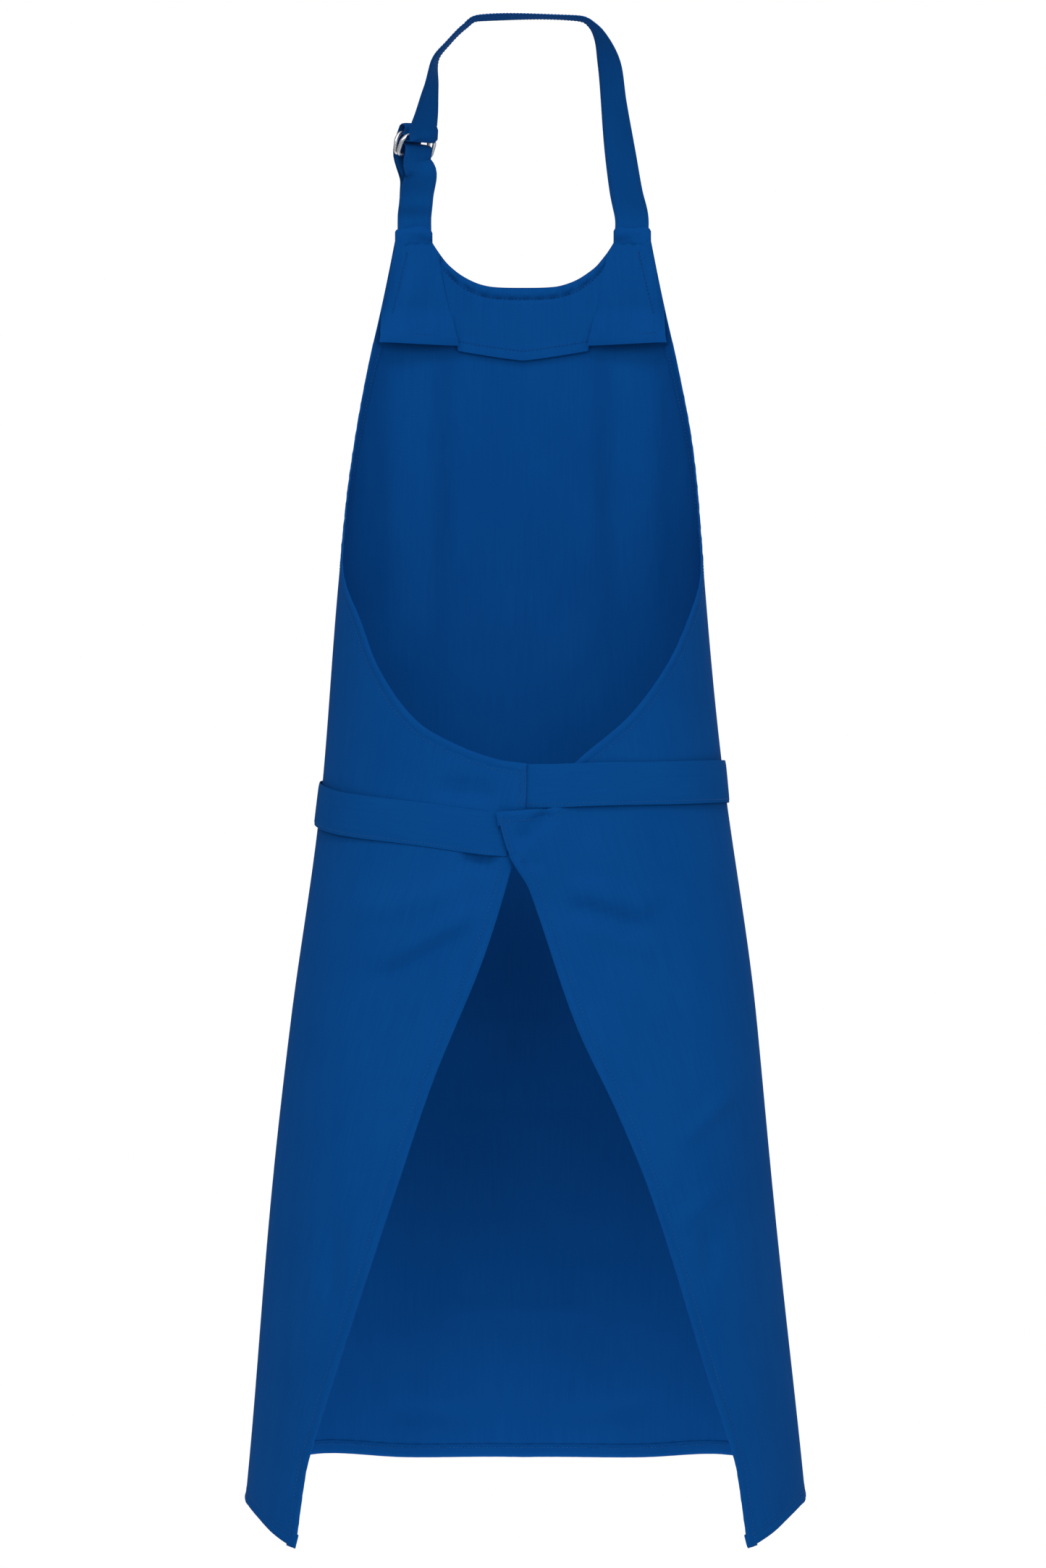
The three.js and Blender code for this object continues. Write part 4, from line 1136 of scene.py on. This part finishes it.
# --- Ring tab ----------------------------------------------------------------------------------
# A short strip of the strap's twill, sewn into the left casing. It goes up round the bars of
# both rings and comes back down behind itself.
TAB_SLACK = 0.0009
TAB_LOOSE = 2.6  # how much higher than round the tab stands over the bars
TAB_SPREAD = 0.0034  # from the tab's middle to each of its layers, just below the bars


def tab_places():
    """The tab's centre line: up from the left casing, over both bars and down again."""
    reach = BAR_SPACING / 2
    turn_radius = WIRE_RADIUS + TAB_SLACK + STRAP_THICKNESS / 2
    apart = (STRAP_THICKNESS + 0.001) / 2
    foot = [(*(on_foot - (0, 0, 0.0065)), 180), (*(on_foot + (0, 0, HINGE_ROOM)), 180)]
    over = [
        by_rings(
            0,
            np.clip(math.cos(turn) * 4, -1, 1) * reach + turn_radius * math.cos(turn),
            TAB_LOOSE * turn_radius * math.sin(turn),
        )
        for turn in np.linspace(math.pi, 0, 9)
    ]
    at_bars = [by_rings(0, -reach - turn_radius, -0.0045), *over, by_rings(0, reach + turn_radius, -0.0045)]
    return [
        *foot, *reversed(below_rings((-TAB_SPREAD, -apart, -apart))),
        *[(*point, ALONG_RINGS) for point in at_bars], *below_rings((TAB_SPREAD, apart, apart)),
    ]


tab_line = curve_through(tab_places(), 0.0020)


def tab_waves(run, side):
    return 0.0006 * np.sin(run * 95 + 0.5) * side * ramp(run, 0.004, 0.014) * ramp(run, 0.052, 0.040)


tab, tab_seams = strap_strip("short_tab", "tab_seams", tab_line, tab_waves)
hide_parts("ring_tab")

# --- Waist ties --------------------------------------------------------------------------------
# Each tie is a long strip of twill folded double and sewn along its lower edge. It starts under
# the tip of a wing, where a bar tack holds it, and goes round the waist to the front.
TIE_BLUES = ((0.0010, 0.0460, 0.202), (0.0030, 0.0740, 0.284))
TIE_TWILL = twill("tie twill", slant=0.4, blues=TIE_BLUES)
TIE_WIDTH = 0.032
TIE_THICKNESS = 0.0014
TIE_STITCH = 0.0024
KNOT_HEIGHT = WAIST - 0.003
KNOT = np.array([0.0100, 0.0070, 0.0130])
LEFT_START = LEFT_TIP - TIE_WIDTH / 2
RIGHT_START = RIGHT_TIP - TIE_WIDTH / 2
LEFT_TIE = [  # (degrees round the body, height, distance off it)
    (181, LEFT_START, 0.0014), (177, LEFT_START, 0.0022), (171, LEFT_START, 0.0036),
    (158, LEFT_START + 0.0012, 0.0034), (140, LEFT_START + 0.0020, 0.0022),
    (90, LEFT_START + 0.0030, 0.0020), (3.9, KNOT_HEIGHT, 0.0022),
]
RIGHT_TIE = [
    (184, RIGHT_START, 0.0014), (190, RIGHT_START + 0.0010, 0.0018),
    (210, RIGHT_START + 0.0080, 0.0024), (240, -0.604, 0.0020), (270, -0.596, 0.0020),
    (356.1, KNOT_HEIGHT, 0.0022),
]


def smooth_ring(stations, angles):
    """Height and offset on a smooth curve through (angle, height, offset) stations."""
    turn = 1 if stations[0][0] > stations[-1][0] else -1
    table = np.array(stations) * (turn, 1, 1)
    return [smooth_along(table[:, [0, column]], angles * turn) for column in (1, 2)]


def waist_tie(name, stations, seed):
    """One tie from the tip of its wing to the knot."""
    angles = np.linspace(stations[0][0], stations[-1][0], 150)
    height, offset = smooth_ring(stations, angles)
    centres = on_body(angles, height, offset)
    across = body_point(angles, height + 0.001) - body_point(angles, height - 0.001)

    def waves(run, side):
        free = ramp(run, 0.004, 0.03)
        slack = 0.0005 * np.sin(run * 38 + seed) * (1 + 0.5 * side)
        near_start = 0.0006 * np.exp(-(((run - 0.013) / 0.006) ** 2)) * side
        return (slack * free - near_start) * (1 if stations[0][0] < stations[-1][0] else -1)

    return strip(name, centres, across, TIE_WIDTH, TIE_THICKNESS, TIE_TWILL, waves)


tie_seam_lines = []
for word, stations, seed in (("left", LEFT_TIE, 0.4), ("right", RIGHT_TIE, 2.0)):
    piece, outer, inner, normal = waist_tie(f"tie_round_waist_{word}", stations, seed)
    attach(piece, "apron")
    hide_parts(f"waist_tie_{word}")
    tie_seam_lines += edge_stitches(outer, inner, normal, TIE_WIDTH, TIE_STITCH, sides=(-1,))


def bar_tack(side, inset, from_level, to_level):
    """A dense zigzag of thread on the outside of a wing's tip."""
    path = evenly_spaced(side_path(side, from_level, to_level, 30), 0.0008)
    line = inset_path(path, side, inset)
    zigzag = np.where(np.arange(len(line)) % 2 == 0, 0.0003, -0.0003)
    line[:, 0] += side * np.degrees(zigzag / 0.15)
    angle, height = line.T
    return stitch_row(on_cloth(angle, height, TWILL / 2 + 0.0002), outward(angle, height), 0.0016)


tack_lines = (
    bar_tack(-1, 0.0046, LEFT_TIP - 0.002, LEFT_TIP - TIP_WIDTH + 0.001)
    + bar_tack(-1, 0.0012, LEFT_TIP - 0.001, LEFT_TIP - TIP_WIDTH + 0.001)
    + bar_tack(1, 0.0022, RIGHT_TIP - 0.002, RIGHT_TIP - TIP_WIDTH + 0.001)
    + bar_tack(1, 0.0060, RIGHT_TIP - 0.003, RIGHT_TIP - 0.012)
)
tie_seams = sewn("tie_seams", tie_seam_lines + tack_lines, THREAD)
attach(tie_seams, "apron")

# --- Bow ---------------------------------------------------------------------------------------
# The ties are knotted at the front in a bow: a firm creased knot, two soft loops that droop a
# little, and two ends that hang over the skirt.
BOW_REACH = 0.082
BOW_DROOP = 0.022
LOOP_HALF_GAP = 0.003
KNOT_OFFSET = 0.0081
TAIL_LENGTH = 0.168


def squarish(value):
    """A sine or cosine, made fuller, so that a round shape becomes a squarer one."""
    return np.sign(value) * np.abs(value) ** 0.8


def bow_knot():
    """The knot, which sits on the tops of both ties."""
    up = np.linspace(0, math.pi, 37)[1:-1][:, None]
    round_ = np.linspace(0, 2 * math.pi, 49)[:-1][None, :]
    # Two folds wrap round it, and small creases run across them
    wrap = 1 - 0.06 * np.exp(-(((up - 1.05 - 0.25 * np.sin(round_)) / 0.10) ** 2))
    wrap -= 0.07 * np.exp(-(((up - 2.05 + 0.2 * np.sin(round_ + 0.6)) / 0.09) ** 2))
    wrap -= 0.03 * np.sin(5 * round_ + 4 * up) ** 2 * np.sin(up)
    points = np.stack([
        KNOT[0] * wrap * squarish(np.sin(up)) * squarish(np.sin(round_)),
        KNOT[1] * wrap * squarish(np.sin(up)) * squarish(np.cos(round_)),
        KNOT[2] * wrap * squarish(np.cos(up)) + 0 * round_,
    ], -1)
    seat = on_body(0.0, KNOT_HEIGHT, KNOT_OFFSET)
    return swept("knot_of_bow", points + seat, TIE_TWILL)


def bow_loop(name, side):
    """A loop of the bow: out from the knot in front and back to it behind."""
    start = KNOT[0] - 0.003
    share = np.linspace(0, 1, 45)

    def layer(reach_share, sign):
        reach = start + (BOW_REACH - start) * reach_share
        height = KNOT_HEIGHT - BOW_DROOP * reach_share**1.5
        puff = 0.0035 * np.sin(math.pi * np.clip(reach_share, 0, 1)) ** 0.8
        gap = LOOP_HALF_GAP * np.sqrt(np.clip(1 - reach_share**6, 0, 1))
        offset = KNOT_OFFSET + sign * gap + (puff if sign > 0 else -0.1 * puff)
        return on_body(angle_at(side * reach, height), height, offset)

    centres = np.concatenate([layer(share, 1), layer(share[::-1], -1)])
    spread_front = np.sin(math.pi / 2 * np.minimum(1, 0.35 + share * 1.4))
    spread = np.concatenate([spread_front, spread_front[::-1]])
    across = np.broadcast_to([side * BOW_DROOP / BOW_REACH, 0, 1], centres.shape)

    def waves(run, side_place):
        half = run[-1] / 2
        from_knot = 1 - np.abs(run - half) / half
        near = np.exp(-((from_knot / 0.45) ** 2))
        return 0.0011 * near * np.sin(side_place * 7.5 + side) * ramp(from_knot, 0, 0.1)

    return strip(name, centres, across, TIE_WIDTH * spread, TIE_THICKNESS, TIE_TWILL, waves, columns=17)


def hanging_end(name, side, layer):
    """One end of the ties, which hangs from the knot over the skirt and widens below it."""
    share = np.linspace(0, 1, 70)
    height = KNOT_HEIGHT - KNOT[2] + 0.004 - TAIL_LENGTH * share
    reach = side * (0.003 + 0.017 * share)
    width = TIE_WIDTH * (0.5 + 0.5 * np.minimum(1, share * 4))
    angle = angle_at(reach, height)
    swing = 0.0012 * np.sin(7 * share + layer) * ramp(share, 0.1, 0.4)
    offset = 0.0022 + layer * 0.0021 + swing + 0.0012
    centres = on_body(angle, height, offset + drape(angle, height))
    across = body_point(angle + 1, height) - body_point(angle - 1, height)
    across[:, 2] += 0.12 * side * np.linalg.norm(across, axis=1)

    def waves(run, side_place):
        near = np.exp(-((run / 0.03) ** 2))
        return 0.0009 * near * np.sin(side_place * 6) + 0.0005 * np.sin(run * 45 + layer) * side_place

    return strip(name, centres, across, width, TIE_THICKNESS, TIE_TWILL, waves, columns=15)


knot = bow_knot()
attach(knot, "apron")
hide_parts("bow_knot")
bow_lines = []
loops, ends = [], []
for side, word in ((-1, "left"), (1, "right")):
    loop, outer, inner, normal = bow_loop(f"loop_of_bow_{word}", side)
    bow_lines += edge_stitches(outer, inner, normal, TIE_WIDTH, TIE_STITCH, sides=(-1,), trim=6)
    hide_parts(f"bow_loop_{word}")
    loops.append(loop)
    end, outer, inner, normal = hanging_end(f"hanging_end_{word}", side, 1 if side < 0 else 2)
    bow_lines += edge_stitches(outer, inner, normal, TIE_WIDTH, TIE_STITCH, sides=(side,), trim=6)
    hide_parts(f"tie_end_{word}")
    ends.append(end)
bow_seams = sewn("bow_seams", bow_lines, THREAD)
for piece in (*loops, *ends, bow_seams):
    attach(piece, "apron")
